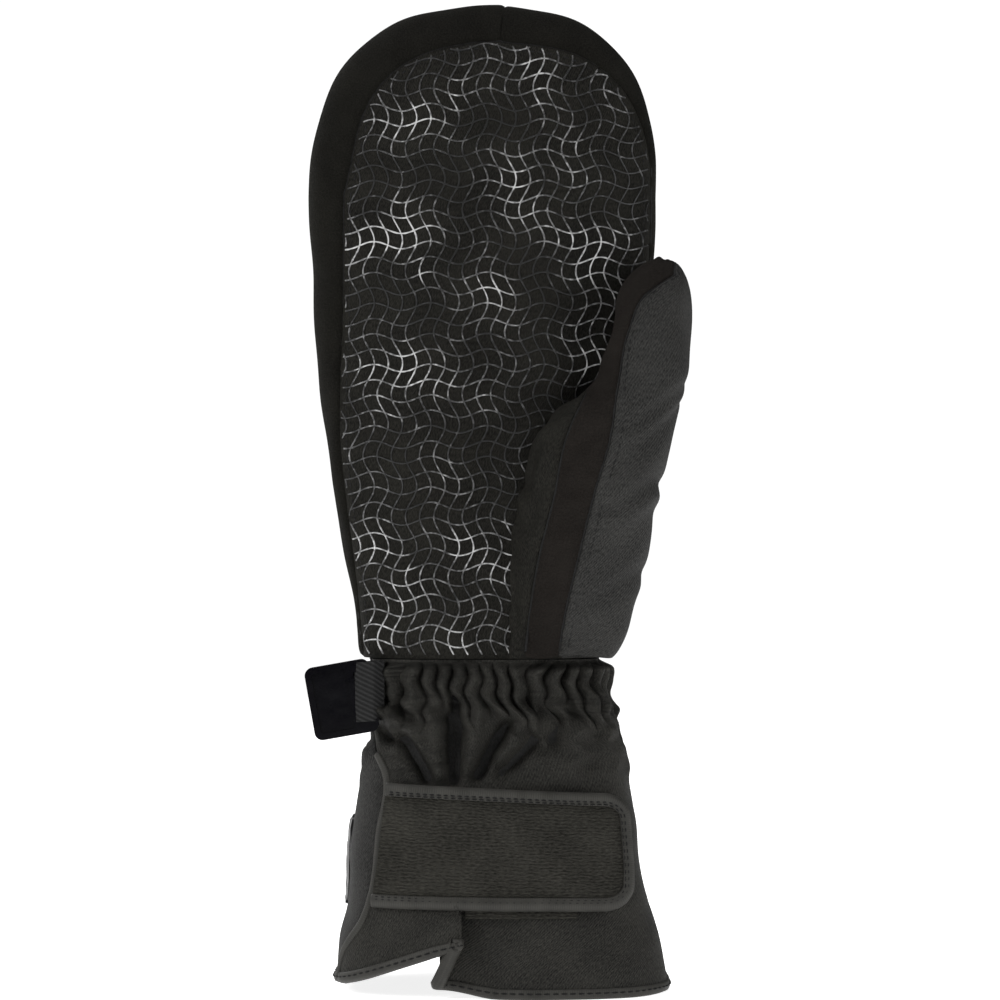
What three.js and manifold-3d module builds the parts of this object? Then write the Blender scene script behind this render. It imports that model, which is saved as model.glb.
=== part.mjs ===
// A right-hand ski mitten that stands on its cuff hem, fingers up.
// Millimetres, +Z up, palm towards -Y, thumb towards +X. The origin is the centre of the footprint.
// Every cloth layer is its own hollow solid. Layers nest inside each other with a small gap.
import * as THREE from "three";
import { mergeVertices } from "three/addons/utils/BufferGeometryUtils.js";
import Module from "manifold-3d";

const wasm = await Module();
wasm.setup();

// ---------------------------------------------------------------- driving dimensions

const GAP = 0.3; // between pieces that touch
const FAR = 200; // reach of a cutting tool past the mitten
const EDGE = 4; // how far a cavity tool runs past the open end of its shell

// Hand
const HAND_LENGTH = 203; // wrist seam to fingertip
const FINGER_DOME = 60; // length of the rounded finger end
const PALM_WIDTH = 107.8;
const PALM_FRONT = 22; // centre plane to palm face
const PALM_BACK = 26; // centre plane to back face
const DOME_LEAN = 2; // fingertip sits this far towards the thumb
const WALL_WIDTH = 11; // side wall seen from the palm, on the little finger side
const WALL_WIDTH_THUMB = 1.5; // the same on the thumb side
const WALL_WIDTH_TIP = 14; // the same over the fingertips
const WALL_WIDTH_BACK = 6; // side wall seen from the back
const WALL_JOIN_X = 7; // seam between the two side walls, at the fingertips

// Wrist and cuff
const CUFF_LENGTH = 102; // hem to wrist seam
const WRIST_WIDTH = 75.5;
const WRIST_FRONT = 19.5;
const WRIST_BACK = 21;
const WAIST_HEIGHT = 94; // narrowest height, inside the gathers
const HEM_WIDTH = 101;
const HEM_DEPTH = 72;
const HEM_LEAN = 5.8; // centre of the hem, towards the thumb
const HEM_BINDING_HEIGHT = 6;
const HEM_BINDING_CLOTH = 0.9;
const ELASTIC_HEIGHT = 4;
const ELASTIC_PITCH = 7;
const ELASTIC_TOP_GAP = 3; // wrist seam to the upper elastic
const SIDE_SEAM_SHARE = 0.8; // place of the front side seam, as a share of the half width
const PIPING_RADIUS = 1.1;
const PIPING_TOP_GAP = 25; // wrist seam to the top of the piping

// Cloth thicknesses
const SHELL_CLOTH = 1.2;
const MEMBRANE = 0.5;
const INSULATION_BACK = 6.5;
const INSULATION_PALM = 3;
const INSULATION_SIDE = 4;
const FLEECE = 2.5;
const CUFF_LINING_CLOTH = 1;
const CUFF_LINING_DEPTH = 3; // shell face to lining face, room for the elastics
const THUMB_INSULATION = 2;
const THUMB_FLEECE = 1.2;

// Thumb
const THUMB_LENGTH = 121; // wrist seam to thumb tip
const THUMB_DOME = 17;
const THUMB_LIFT = 1.5; // clearance over the palm, which the thumb slides across
const PASSAGE_WIDTH = 22; // hole between the palm and the thumb
const PASSAGE_HEIGHT = 54;
const PASSAGE_SHARE = 0.36; // centre of the hole, as a share of the thumb's length

// Strap
const STRAP_HEIGHT = 36.5;
const STRAP_BOTTOM = 26; // above the hem
const STRAP_CORNER = 7;
const STRAP_CLOTH = 1.7;
const STRAP_END_GAP = 0.5; // free end to the thumb-side edge of the cuff
const BINDING_WIDTH = 3.4;
const BINDING_PROUD = 0.4; // how far the binding stands over the strap cloth
const PAD_CLOTH = 1.2; // hook or loop tape
const PAD_WIDTH = 34;
const PAD_CORNER = 2;
const PAD_END_MARGIN = 20; // free end of the strap to the pads
const CUFF_PAD_DROP = 2.5; // the cuff's pad shows this far under the strap

// Clip
const CLIP_WIDTH = 20;
const CLIP_HEIGHT = 22.5;
const CLIP_THICKNESS = 3.2;
const CLIP_CORNER = 2.5;
const CLIP_RIM = 2;
const CLIP_RECESS = 0.6;
const CLIP_RECESS_CORNER = 1;
const CLIP_BAR = 2.6;
const CLIP_SLOT = 2.6;
const CLIP_DROOP = -10; // degrees
const CLIP_INSET = 2; // wrist edge to the near edge of the clip's bar
const CLIP_STANDOFF = 1.2; // the sleeve round the bar stands clear of the wrist
const WEBBING_WIDTH = 14;
const WEBBING_CLOTH = 1.2;
const WEBBING_TAIL = 8; // sewn length on the wrist
const WEBBING_TAIL_LAYERS = 3; // both ends of the sleeve lie on each other
const WEBBING_CENTRE_DROP = 11; // wrist seam to the middle of the webbing

// Badge and label
const BADGE_WIDTH = 44;
const BADGE_HEIGHT = 28;
const BADGE_BOTTOM = 23;
const BADGE_CENTRE_X = -12;
const BADGE_CORNER = 3;
const BADGE_CLOTH = 0.9;
const LABEL_WIDTH = 20;
const LABEL_HEIGHT = 30;
const LABEL_BOTTOM = 40;
const LABEL_CORNER = 2;
const LABEL_CLOTH = 0.5;

// Facets
const SHELL_SIDES = 32;
const LAYER_SIDES = 16;
const THUMB_SIDES = 16;
const THUMB_LAYER_SIDES = 8;
const SIDE_RINGS = 4; // from the wrist to the finger dome
const DOME_RINGS = 5;
const LAST_DOME_RING = 0.97; // its place on the quarter turn towards the tip
const TIP_FLAT = 0.002; // what the last ring leaves of a dome's length
const PIPING_STEPS = 10;
const BAR_SIDES = 16;
const CORNER_SEGMENTS = 6;
const CLIP_SEGMENTS = 4;

const HAND_TOP = CUFF_LENGTH + HAND_LENGTH;
const SHOULDER = HAND_TOP - FINGER_DOME;
const THUMB_TOP = CUFF_LENGTH + THUMB_LENGTH;
const THUMB_SHOULDER = THUMB_TOP - THUMB_DOME;

// ---------------------------------------------------------------- solids from meshes

function solidOf(geometry) {
  const bare = geometry.clone();
  bare.deleteAttribute("normal");
  bare.deleteAttribute("uv");
  const merged = mergeVertices(bare);
  return new wasm.Manifold(
    new wasm.Mesh({
      numProp: 3,
      vertProperties: new Float32Array(merged.attributes.position.array),
      triVerts: new Uint32Array(merged.index.array),
    }),
  );
}

function geometryOf(solid) {
  const cut = solid.getMesh();
  const geometry = new THREE.BufferGeometry();
  geometry.setAttribute("position", new THREE.BufferAttribute(cut.vertProperties, cut.numProp));
  geometry.setIndex(new THREE.BufferAttribute(cut.triVerts, 1));
  geometry.computeVertexNormals();
  return geometry;
}

// A closed solid through a stack of rings with the same number of points, lowest ring first.
function loft(rings) {
  const sides = rings[0].length;
  const points = rings.flat();
  const index = [];
  for (let r = 0; r + 1 < rings.length; r++) {
    for (let i = 0; i < sides; i++) {
      const a = r * sides + i;
      const b = r * sides + ((i + 1) % sides);
      index.push(a, b, b + sides, a, b + sides, a + sides);
    }
  }
  const capEnd = (first, flip) => {
    const centre = new THREE.Vector3();
    for (let i = 0; i < sides; i++) centre.addScaledVector(points[first + i], 1 / sides);
    points.push(centre);
    const middle = points.length - 1;
    for (let i = 0; i < sides; i++) {
      const a = first + i;
      const b = first + ((i + 1) % sides);
      if (flip) index.push(middle, b, a);
      else index.push(middle, a, b);
    }
  };
  capEnd(0, true);
  capEnd((rings.length - 1) * sides, false);
  const geometry = new THREE.BufferGeometry().setFromPoints(points);
  geometry.setIndex(index);
  return solidOf(geometry);
}

// A prism along Y with its outline in the XZ plane.
function prismY(outline, yLow, yHigh) {
  const geometry = new THREE.ExtrudeGeometry(outline, {
    depth: yHigh - yLow,
    bevelEnabled: false,
    curveSegments: CORNER_SEGMENTS,
  });
  geometry.rotateX(Math.PI / 2);
  geometry.translate(0, yHigh, 0);
  return solidOf(geometry);
}

function polygon(points) {
  return new THREE.Shape(points.map(([x, z]) => new THREE.Vector2(x, z)));
}

function roundedRectangle(left, right, low, high, corner) {
  const shape = new THREE.Shape();
  shape.moveTo(left + corner, low);
  shape.lineTo(right - corner, low);
  shape.absarc(right - corner, low + corner, corner, -Math.PI / 2, 0);
  shape.lineTo(right, high - corner);
  shape.absarc(right - corner, high - corner, corner, 0, Math.PI / 2);
  shape.lineTo(left + corner, high);
  shape.absarc(left + corner, high - corner, corner, Math.PI / 2, Math.PI);
  shape.lineTo(left, low + corner);
  shape.absarc(left + corner, low + corner, corner, Math.PI, Math.PI * 1.5);
  return shape;
}

// ---------------------------------------------------------------- forms
// A form gives the cross-section of a cloth tube at a height: centre, half width, front and back depth.
// An inset moves the section inwards by its side, front, back and tip amounts. A negative one grows it.

const FRONT_POWER = 3.2; // a flat front with round corners
const BACK_POWER = 2.6;
const DOME_POWER = 2.5;
const PALM_DOME_POWER = 2;

const mix = (a, b, t) => a + (b - a) * t;
const evenInset = (t) => ({ side: t, front: t, back: t, tip: t });
const deeper = (inset, t) => ({
  side: inset.side + t,
  front: inset.front + t,
  back: inset.back + t,
  tip: inset.tip + t,
});
const domeShare = (t, power) => Math.pow(Math.max(0, 1 - Math.pow(t, power)), 1 / power);

function sectionRing(section, z, sides) {
  const ring = [];
  for (let i = 0; i < sides; i++) {
    const angle = (i / sides) * 2 * Math.PI;
    const c = Math.cos(angle);
    const s = Math.sin(angle);
    const power = 2 / (s < 0 ? FRONT_POWER : BACK_POWER);
    const x = section.cx + section.half * Math.sign(c) * Math.pow(Math.abs(c), power);
    const depth = s < 0 ? section.front : section.back;
    const y = section.cy + depth * Math.sign(s) * Math.pow(Math.abs(s), power);
    ring.push(new THREE.Vector3(x, y, z));
  }
  return ring;
}

function handSection(z, inset) {
  const rise = Math.sin((Math.PI / 2) * Math.min(1, (z - CUFF_LENGTH) / (SHOULDER - CUFF_LENGTH)));
  const half = mix(WRIST_WIDTH, PALM_WIDTH, rise) / 2 - inset.side;
  const front = mix(WRIST_FRONT, PALM_FRONT, rise) - inset.front;
  const back = mix(WRIST_BACK, PALM_BACK, rise) - inset.back;
  if (z <= SHOULDER) return { cx: 0, cy: 0, half, front, back };
  const t = (z - SHOULDER) / (FINGER_DOME - inset.tip);
  const width = domeShare(t, DOME_POWER);
  const depth = domeShare(t, PALM_DOME_POWER);
  return { cx: DOME_LEAN * t, cy: 0, half: half * width, front: front * depth, back: back * depth };
}

// Ring heights: even up to the shoulder, then closer together towards the tip.
function tubeHeights(low, shoulder, tip) {
  const heights = [];
  for (let i = 0; i < SIDE_RINGS; i++) heights.push(mix(low, shoulder, i / SIDE_RINGS));
  for (let i = 0; i < DOME_RINGS; i++) {
    const turn = ((i / DOME_RINGS) * LAST_DOME_RING * Math.PI) / 2;
    heights.push(mix(shoulder, tip, Math.sin(turn)));
  }
  heights.push(tip - TIP_FLAT * (tip - shoulder));
  return heights;
}

function handSolid(inset, low, sides) {
  const heights = tubeHeights(CUFF_LENGTH, SHOULDER, HAND_TOP - inset.tip);
  heights[0] = low;
  return loft(heights.map((z) => sectionRing(handSection(Math.max(z, CUFF_LENGTH), inset), z, sides)));
}

// The thumb leans away from the hand. Each station is a share of the thumb's length below its dome.
const THUMB_STATIONS = [
  { share: 0, left: 8.2, right: 40.5, front: 24, back: 2 },
  { share: 0.28, left: 9.5, right: 49.7, front: 35, back: 4 },
  { share: 0.53, left: 13.1, right: 54.9, front: 42, back: 6 },
  { share: 0.66, left: 17.1, right: 58, front: 44, back: 7 },
  { share: 0.77, left: 25, right: 61, front: 45, back: 8 },
  { share: 0.87, left: 35.5, right: 62.8, front: 44.5, back: 9 },
  { share: 1, left: 41, right: 63.4, front: 42, back: 10 },
];
const THUMB_TIP_X = 55.8;

function stationAt(share) {
  const last = THUMB_STATIONS.length - 1;
  let k = 0;
  while (k < last - 1 && share > THUMB_STATIONS[k + 1].share) k++;
  const a = THUMB_STATIONS[k];
  const b = THUMB_STATIONS[k + 1];
  const t = THREE.MathUtils.clamp((share - a.share) / (b.share - a.share), 0, 1);
  return {
    left: mix(a.left, b.left, t),
    right: mix(a.right, b.right, t),
    front: mix(a.front, b.front, t),
    back: mix(a.back, b.back, t),
  };
}

function thumbSection(z, inset) {
  const share = (z - CUFF_LENGTH) / (THUMB_SHOULDER - CUFF_LENGTH);
  const s = stationAt(Math.min(1, share));
  const cy = -(s.front + s.back) / 2;
  const depth = (s.front - s.back) / 2 - inset.front;
  const half = (s.right - s.left) / 2 - inset.side;
  const cx = (s.right + s.left) / 2;
  if (z <= THUMB_SHOULDER) return { cx, cy, half, front: depth, back: depth };
  const t = (z - THUMB_SHOULDER) / (THUMB_DOME - inset.tip);
  const k = domeShare(t, 2);
  return { cx: mix(cx, THUMB_TIP_X, t), cy, half: half * k, front: depth * k, back: depth * k };
}

function thumbSolid(inset, low, sides) {
  const heights = THUMB_STATIONS.map((s) => mix(CUFF_LENGTH, THUMB_SHOULDER, s.share));
  heights[0] = low;
  const tip = THUMB_TOP - inset.tip;
  for (let i = 1; i < DOME_RINGS; i++) {
    heights.push(mix(THUMB_SHOULDER, tip, Math.sin(((i / DOME_RINGS) * Math.PI) / 2)));
  }
  heights.push(tip - TIP_FLAT * THUMB_DOME);
  return loft(heights.map((z) => sectionRing(thumbSection(Math.max(z, CUFF_LENGTH), inset), z, sides)));
}

// The gauntlet: straight through the gathers, then a flare to the hem with a slower start.
const FLARE_POWER = 1.15;

function cuffSection(z, inset) {
  const t = THREE.MathUtils.clamp((WAIST_HEIGHT - z) / WAIST_HEIGHT, 0, 1);
  const flare = Math.pow(t, FLARE_POWER);
  return {
    cx: HEM_LEAN * t,
    cy: 0,
    half: mix(WRIST_WIDTH, HEM_WIDTH, flare) / 2 - inset.side,
    front: mix(WRIST_FRONT, HEM_DEPTH / 2, flare) - inset.front,
    back: mix(WRIST_BACK, HEM_DEPTH / 2, flare) - inset.back,
  };
}

const CUFF_LEVELS = [0, 0.3, 0.6, 0.82, 1];

function cuffSolid(inset, low, high, sides) {
  const heights = CUFF_LEVELS.map((s) => s * WAIST_HEIGHT).filter((z) => z > low && z < high);
  const all = [low, ...heights, high];
  return loft(all.map((z) => sectionRing(cuffSection(z, inset), z, sides)));
}

// A skin of cloth between two depths under the face of a form's outer surface.
function skin(solidAt, outer, thickness, low, sides) {
  const inner = deeper(outer, thickness);
  return solidAt(outer, low, sides).subtract(solidAt(inner, low - EDGE, sides));
}

// A band of the cuff between two heights, from one depth under its face to another.
function cuffBand(depth, thickness, low, high, sides) {
  const outside = cuffSolid(evenInset(depth), low, high, sides);
  const inside = cuffSolid(evenInset(depth + thickness), low - EDGE, high + EDGE, sides);
  return outside.subtract(inside);
}

// ---------------------------------------------------------------- outlines in the XZ plane

const OUTLINE_STEPS = 10;

// The side walls are narrow at the wrist and reach their full width half way up the hand.
const BORDER_AT_WRIST = 0.2;
const BORDER_GAIN = 1.8;

// The palm or back panel: the hand's silhouette with a border left for the side walls.
function panelOutline(borderLittle, borderThumb, borderTip, grow) {
  const atSide = (z, side) => {
    const section = handSection(z, evenInset(0));
    const rise = (z - CUFF_LENGTH) / (SHOULDER - CUFF_LENGTH);
    const full = side < 0 ? borderLittle : borderThumb;
    const border = full * Math.min(1, BORDER_AT_WRIST + BORDER_GAIN * rise);
    return side * (section.half - border + grow);
  };
  const points = [];
  const low = CUFF_LENGTH - EDGE;
  points.push([atSide(CUFF_LENGTH, -1), low]);
  points.push([atSide(CUFF_LENGTH, 1), low]);
  for (let i = 0; i <= OUTLINE_STEPS; i++) {
    const z = mix(CUFF_LENGTH, SHOULDER, i / OUTLINE_STEPS);
    points.push([atSide(z, 1), z]);
  }
  const right = atSide(SHOULDER, 1);
  const left = atSide(SHOULDER, -1);
  const rise = FINGER_DOME - borderTip + grow;
  for (let i = 1; i < 2 * OUTLINE_STEPS; i++) {
    const angle = (i / (2 * OUTLINE_STEPS)) * Math.PI;
    const across = ((right - left) / 2) * Math.cos(angle);
    points.push([(right + left) / 2 + across, SHOULDER + rise * Math.sin(angle)]);
  }
  for (let i = OUTLINE_STEPS; i >= 0; i--) {
    const z = mix(CUFF_LENGTH, SHOULDER, i / OUTLINE_STEPS);
    points.push([atSide(z, -1), z]);
  }
  return polygon(points);
}

const palmOutline = (grow) => panelOutline(WALL_WIDTH, WALL_WIDTH_THUMB, WALL_WIDTH_TIP, grow);
const backOutline = (grow) => panelOutline(WALL_WIDTH_BACK, WALL_WIDTH_BACK, WALL_WIDTH_BACK, grow);

function passageOutline() {
  const share = PASSAGE_SHARE;
  const s = stationAt(share);
  const shape = new THREE.Shape();
  const z = CUFF_LENGTH + share * THUMB_LENGTH;
  shape.absellipse((s.left + s.right) / 2, z, PASSAGE_WIDTH / 2, PASSAGE_HEIGHT / 2, 0, 2 * Math.PI);
  return shape;
}

// ---------------------------------------------------------------- the group

const mitten = new THREE.Group();
mitten.name = "ski_mitten";

const CLOTH = {
  palm: { color: 0x202020, roughness: 0.7 },
  softshell: { color: 0x1d1d1a, roughness: 0.95 },
  suede: { color: 0x24221f, roughness: 0.95 },
  twill: { color: 0x2f302d, roughness: 0.8 },
  membrane: { color: 0xd9dbd8, roughness: 0.4 },
  wadding: { color: 0xe6e4dc, roughness: 1 },
  fleece: { color: 0x2b2c2e, roughness: 1 },
  lining: { color: 0x26272a, roughness: 0.6 },
  elastic: { color: 0x171717, roughness: 0.9 },
  binding: { color: 0x373834, roughness: 0.6 },
  loop: { color: 0x30312c, roughness: 1 },
  hook: { color: 0x141414, roughness: 0.5 },
  webbing: { color: 0x1c1c1c, roughness: 0.8 },
  clip: { color: 0x08080a, roughness: 0.25 },
  badge: { color: 0x6f7275, roughness: 0.6 },
  label: { color: 0xcfcfca, roughness: 0.7 },
};

function add(name, finish, solid) {
  const material = new THREE.MeshStandardMaterial({ ...CLOTH[finish], metalness: 0 });
  const mesh = new THREE.Mesh(geometryOf(solid), material);
  mesh.name = name;
  mitten.add(mesh);
  return mesh;
}

// ---------------------------------------------------------------- hand shell

const passage = prismY(passageOutline(), -FAR, 0);
const handBase = CUFF_LENGTH + GAP;

function buildHandShell() {
  const shell = skin(handSolid, evenInset(0), SHELL_CLOTH, handBase, SHELL_SIDES);
  const palmTool = (grow) => prismY(palmOutline(grow), -FAR, 0);
  const backTool = (grow) => prismY(backOutline(grow), 0, FAR);
  add("palm_panel", "palm", shell.intersect(palmTool(0)).subtract(passage));
  add("back_panel", "twill", shell.intersect(backTool(0)));
  const wall = shell.subtract(palmTool(GAP)).subtract(backTool(GAP));
  const half = (side) => {
    const join = WALL_JOIN_X + (side * GAP) / 2;
    const low = CUFF_LENGTH - EDGE;
    const outline = [[join, low], [join, FAR * 2], [side * FAR, FAR * 2], [side * FAR, low]];
    if (side > 0) outline.reverse();
    return prismY(polygon(outline), -FAR, FAR);
  };
  add("side_wall_little_finger", "softshell", wall.intersect(half(-1)));
  add("side_wall_thumb_side", "softshell", wall.intersect(half(1)));
}

// ---------------------------------------------------------------- hand layers

const membraneInset = evenInset(SHELL_CLOTH + GAP);
const wadInset = evenInset(SHELL_CLOTH + MEMBRANE + 2 * GAP);
const fleeceInset = {
  side: wadInset.side + INSULATION_SIDE + GAP,
  front: wadInset.front + INSULATION_PALM + GAP,
  back: wadInset.back + INSULATION_BACK + GAP,
  tip: wadInset.tip + INSULATION_SIDE + GAP,
};

function buildHandLayers() {
  const membrane = skin(handSolid, membraneInset, MEMBRANE, handBase, LAYER_SIDES);
  add("membrane_insert", "membrane", membrane.subtract(passage));
  const cavity = handSolid(deeper(fleeceInset, -GAP), handBase - EDGE, LAYER_SIDES);
  const wad = handSolid(wadInset, handBase, LAYER_SIDES).subtract(cavity);
  const side = (yLow, yHigh) =>
    prismY(polygon([[-FAR, 0], [FAR, 0], [FAR, FAR * 2], [-FAR, FAR * 2]]), yLow, yHigh);
  add("palm_insulation", "wadding", wad.intersect(side(-FAR, -GAP / 2)).subtract(passage));
  add("back_insulation", "wadding", wad.intersect(side(GAP / 2, FAR)));
  const fleece = skin(handSolid, fleeceInset, FLEECE, handBase, LAYER_SIDES);
  add("hand_lining", "fleece", fleece.subtract(passage));
}

// ---------------------------------------------------------------- thumb

// A seam across the thumb's face: the right-hand side of a line from the wrist to the tip.
function thumbSeam(points, grow) {
  const line = points.map(([share, across]) => {
    const s = stationAt(Math.min(1, share));
    return [mix(s.left, s.right, across) + grow, CUFF_LENGTH + share * THUMB_LENGTH];
  });
  const low = CUFF_LENGTH - EDGE;
  const outline = [[FAR, low], [FAR, FAR * 2], [line.at(-1)[0], FAR * 2]];
  outline.push(...line.reverse());
  outline.push([line.at(-1)[0], low]);
  return prismY(polygon(outline), -FAR, FAR);
}

// Shares of the thumb's length, and places across its width.
const OUTER_SEAM = [[0, 0.46], [0.3, 0.5], [0.55, 0.55], [0.7, 0.54], [0.86, 0.34], [1, 0.7]];
const INNER_SEAM = [[0, 0.15], [0.3, 0.2], [0.55, 0.26], [0.68, 0.2], [0.76, -0.2]];

function buildThumb() {
  const rest = handSolid(evenInset(-THUMB_LIFT), CUFF_LENGTH - EDGE, SHELL_SIDES);
  const base = CUFF_LENGTH + GAP + THUMB_LIFT;
  const cloth = (depth, thickness, sides) =>
    skin(thumbSolid, evenInset(depth), thickness, base, sides).subtract(rest);
  const shell = cloth(0, SHELL_CLOTH, THUMB_SIDES);
  const outerSide = (grow) => thumbSeam(OUTER_SEAM, grow);
  const innerSide = (grow) => thumbSeam(INNER_SEAM, grow);
  add("thumb_outer_panel", "twill", largest(shell.intersect(outerSide(GAP / 2))));
  const middle = shell.subtract(outerSide(-GAP / 2)).intersect(innerSide(GAP / 2));
  add("thumb_gusset", "suede", largest(middle));
  add("thumb_palm_panel", "palm", largest(shell.subtract(innerSide(-GAP / 2))));
  let depth = SHELL_CLOTH + GAP;
  add("thumb_membrane", "membrane", largest(cloth(depth, MEMBRANE, THUMB_LAYER_SIDES)));
  depth += MEMBRANE + GAP;
  add("thumb_insulation", "wadding", largest(cloth(depth, THUMB_INSULATION, THUMB_LAYER_SIDES)));
  depth += THUMB_INSULATION + GAP;
  add("thumb_lining", "fleece", largest(cloth(depth, THUMB_FLEECE, THUMB_LAYER_SIDES)));
}

// The main body of a cut, without the slivers that a seam leaves at its ends.
function largest(solid) {
  return solid.decompose().sort((a, b) => b.volume() - a.volume())[0];
}

// ---------------------------------------------------------------- cuff

const seamX = (z) => {
  const section = cuffSection(z, evenInset(0));
  return section.cx - SIDE_SEAM_SHARE * section.half;
};

// Everything of the cuff on the palm side: in front of the middle, and past the side seam.
function palmSideTool(grow) {
  const low = -EDGE;
  const high = CUFF_LENGTH + EDGE;
  const line = CUFF_LEVELS.map((s) => [seamX(s * WAIST_HEIGHT) - grow, s * WAIST_HEIGHT]);
  const outline = [[FAR, high], [line.at(-1)[0], high], ...line.slice().reverse()];
  outline.push([line[0][0], low], [FAR, low]);
  return prismY(polygon(outline), -FAR, grow);
}

function buildCuff() {
  const low = HEM_BINDING_CLOTH + GAP;
  const high = CUFF_LENGTH - GAP;
  const shell = cuffBand(0, SHELL_CLOTH, low, high, SHELL_SIDES);
  add("cuff_palm_panel", "twill", shell.intersect(palmSideTool(-GAP / 2)));
  add("cuff_back_panel", "twill", shell.subtract(palmSideTool(GAP / 2)));
  const lining = cuffBand(CUFF_LINING_DEPTH, CUFF_LINING_CLOTH, low, high, SHELL_SIDES);
  add("cuff_lining", "lining", lining);
}

// The binding is a channel that holds the lower edges of the shell and the lining.
function buildHemBinding() {
  const held = CUFF_LINING_DEPTH + CUFF_LINING_CLOTH;
  const wall = HEM_BINDING_CLOTH + GAP;
  const block = cuffBand(-wall, held + 2 * wall, 0, HEM_BINDING_HEIGHT, SHELL_SIDES);
  const top = HEM_BINDING_HEIGHT + EDGE;
  const groove = cuffBand(-GAP, held + 2 * GAP, HEM_BINDING_CLOTH, top, SHELL_SIDES);
  add("hem_binding", "binding", block.subtract(groove));
}

function buildElastics() {
  const depth = SHELL_CLOTH + GAP;
  const thickness = CUFF_LINING_DEPTH - SHELL_CLOTH - 2 * GAP;
  ["upper", "lower"].forEach((name, i) => {
    const top = CUFF_LENGTH - ELASTIC_TOP_GAP - i * ELASTIC_PITCH;
    const band = cuffBand(depth, thickness, top - ELASTIC_HEIGHT, top, SHELL_SIDES);
    add("wrist_elastic_" + name, "elastic", band);
  });
}

const WIDEST_SHARE = 0.999; // of the half width, where the face still has a depth

// A point on the front of the cuff, out from its face.
function cuffFrontPoint(x, z, out) {
  const section = cuffSection(z, evenInset(-out));
  const across = Math.min(Math.abs((x - section.cx) / section.half), WIDEST_SHARE);
  const y = -section.front * Math.pow(1 - Math.pow(across, FRONT_POWER), 1 / FRONT_POWER);
  return new THREE.Vector3(x, y, z);
}

function buildPiping() {
  const low = HEM_BINDING_HEIGHT + GAP;
  const high = CUFF_LENGTH - PIPING_TOP_GAP;
  const points = [];
  for (let i = 0; i <= PIPING_STEPS; i++) {
    const z = mix(low, high, i / PIPING_STEPS);
    points.push(cuffFrontPoint(seamX(z), z, PIPING_RADIUS + GAP));
  }
  const circle = new THREE.Shape().absarc(0, 0, PIPING_RADIUS, 0, 2 * Math.PI);
  const geometry = new THREE.ExtrudeGeometry(circle, {
    steps: PIPING_STEPS,
    curveSegments: CORNER_SEGMENTS,
    extrudePath: new THREE.CatmullRomCurve3(points),
  });
  add("side_seam_piping", "binding", solidOf(geometry));
}

// A piece laid on the cuff: a slice between two distances out from its face, cut to an outline.
function onCuff(out, thickness, outline, yLow, yHigh, sides) {
  const box = new THREE.Box2().setFromPoints(outline.getPoints());
  const band = cuffBand(-(out + thickness), thickness, box.min.y - EDGE, box.max.y + EDGE, sides);
  return band.intersect(prismY(outline, yLow, yHigh));
}

// ---------------------------------------------------------------- strap

const STRAP_TOP = STRAP_BOTTOM + STRAP_HEIGHT;
const STRAP_MIDDLE = (STRAP_BOTTOM + STRAP_TOP) / 2;
const STRAP_LEFT = seamX(STRAP_TOP) + 2 * PIPING_RADIUS + 2 * GAP;
const strapSection = cuffSection(STRAP_MIDDLE, evenInset(0));
const STRAP_RIGHT = strapSection.cx + strapSection.half - STRAP_END_GAP;
const PAD_OUT = GAP; // the cuff's pad
const STRAP_PAD_OUT = PAD_OUT + PAD_CLOTH + GAP;
const STRAP_OUT = STRAP_PAD_OUT + PAD_CLOTH + GAP;

// Square where it is sewn into the side seam, rounded at the free end.
function strapOutline(margin, left = STRAP_LEFT) {
  const low = STRAP_BOTTOM + margin;
  const high = STRAP_TOP - margin;
  const right = STRAP_RIGHT - margin;
  const corner = STRAP_CORNER - margin;
  const shape = new THREE.Shape();
  shape.moveTo(left, low);
  shape.lineTo(right - corner, low);
  shape.absarc(right - corner, low + corner, corner, -Math.PI / 2, 0);
  shape.lineTo(right, high - corner);
  shape.absarc(right - corner, high - corner, corner, 0, Math.PI / 2);
  shape.lineTo(left, high);
  return shape;
}

function buildStrap() {
  const body = onCuff(STRAP_OUT, STRAP_CLOTH, strapOutline(BINDING_WIDTH + GAP), -FAR, 0, SHELL_SIDES);
  add("strap_body", "loop", body);
  const out = STRAP_OUT - BINDING_PROUD;
  const thickness = STRAP_CLOTH + 2 * BINDING_PROUD;
  const frame = onCuff(out, thickness, strapOutline(0), -FAR, 0, SHELL_SIDES);
  const window = prismY(strapOutline(BINDING_WIDTH, STRAP_LEFT - EDGE), -FAR, FAR);
  add("strap_binding", "binding", frame.subtract(window));
}

function padOutline(drop) {
  const right = STRAP_RIGHT - PAD_END_MARGIN;
  const low = STRAP_BOTTOM + BINDING_WIDTH + GAP - drop;
  const high = STRAP_TOP - BINDING_WIDTH - GAP;
  return roundedRectangle(right - PAD_WIDTH, right, low, high, PAD_CORNER);
}

function buildPads() {
  const hidden = BINDING_WIDTH + GAP;
  const cuffPad = onCuff(PAD_OUT, PAD_CLOTH, padOutline(hidden + CUFF_PAD_DROP), -FAR, 0, SHELL_SIDES);
  add("cuff_loop_pad", "hook", cuffPad);
  add("strap_hook_pad", "hook", onCuff(STRAP_PAD_OUT, PAD_CLOTH, padOutline(0), -FAR, 0, SHELL_SIDES));
}

// ---------------------------------------------------------------- badge and label

function buildBadge() {
  const left = BADGE_CENTRE_X - BADGE_WIDTH / 2;
  const right = left + BADGE_WIDTH;
  const top = BADGE_BOTTOM + BADGE_HEIGHT;
  const outline = roundedRectangle(left, right, BADGE_BOTTOM, top, BADGE_CORNER);
  add("back_badge", "badge", onCuff(GAP, BADGE_CLOTH, outline, 0, FAR, SHELL_SIDES));
}

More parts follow.
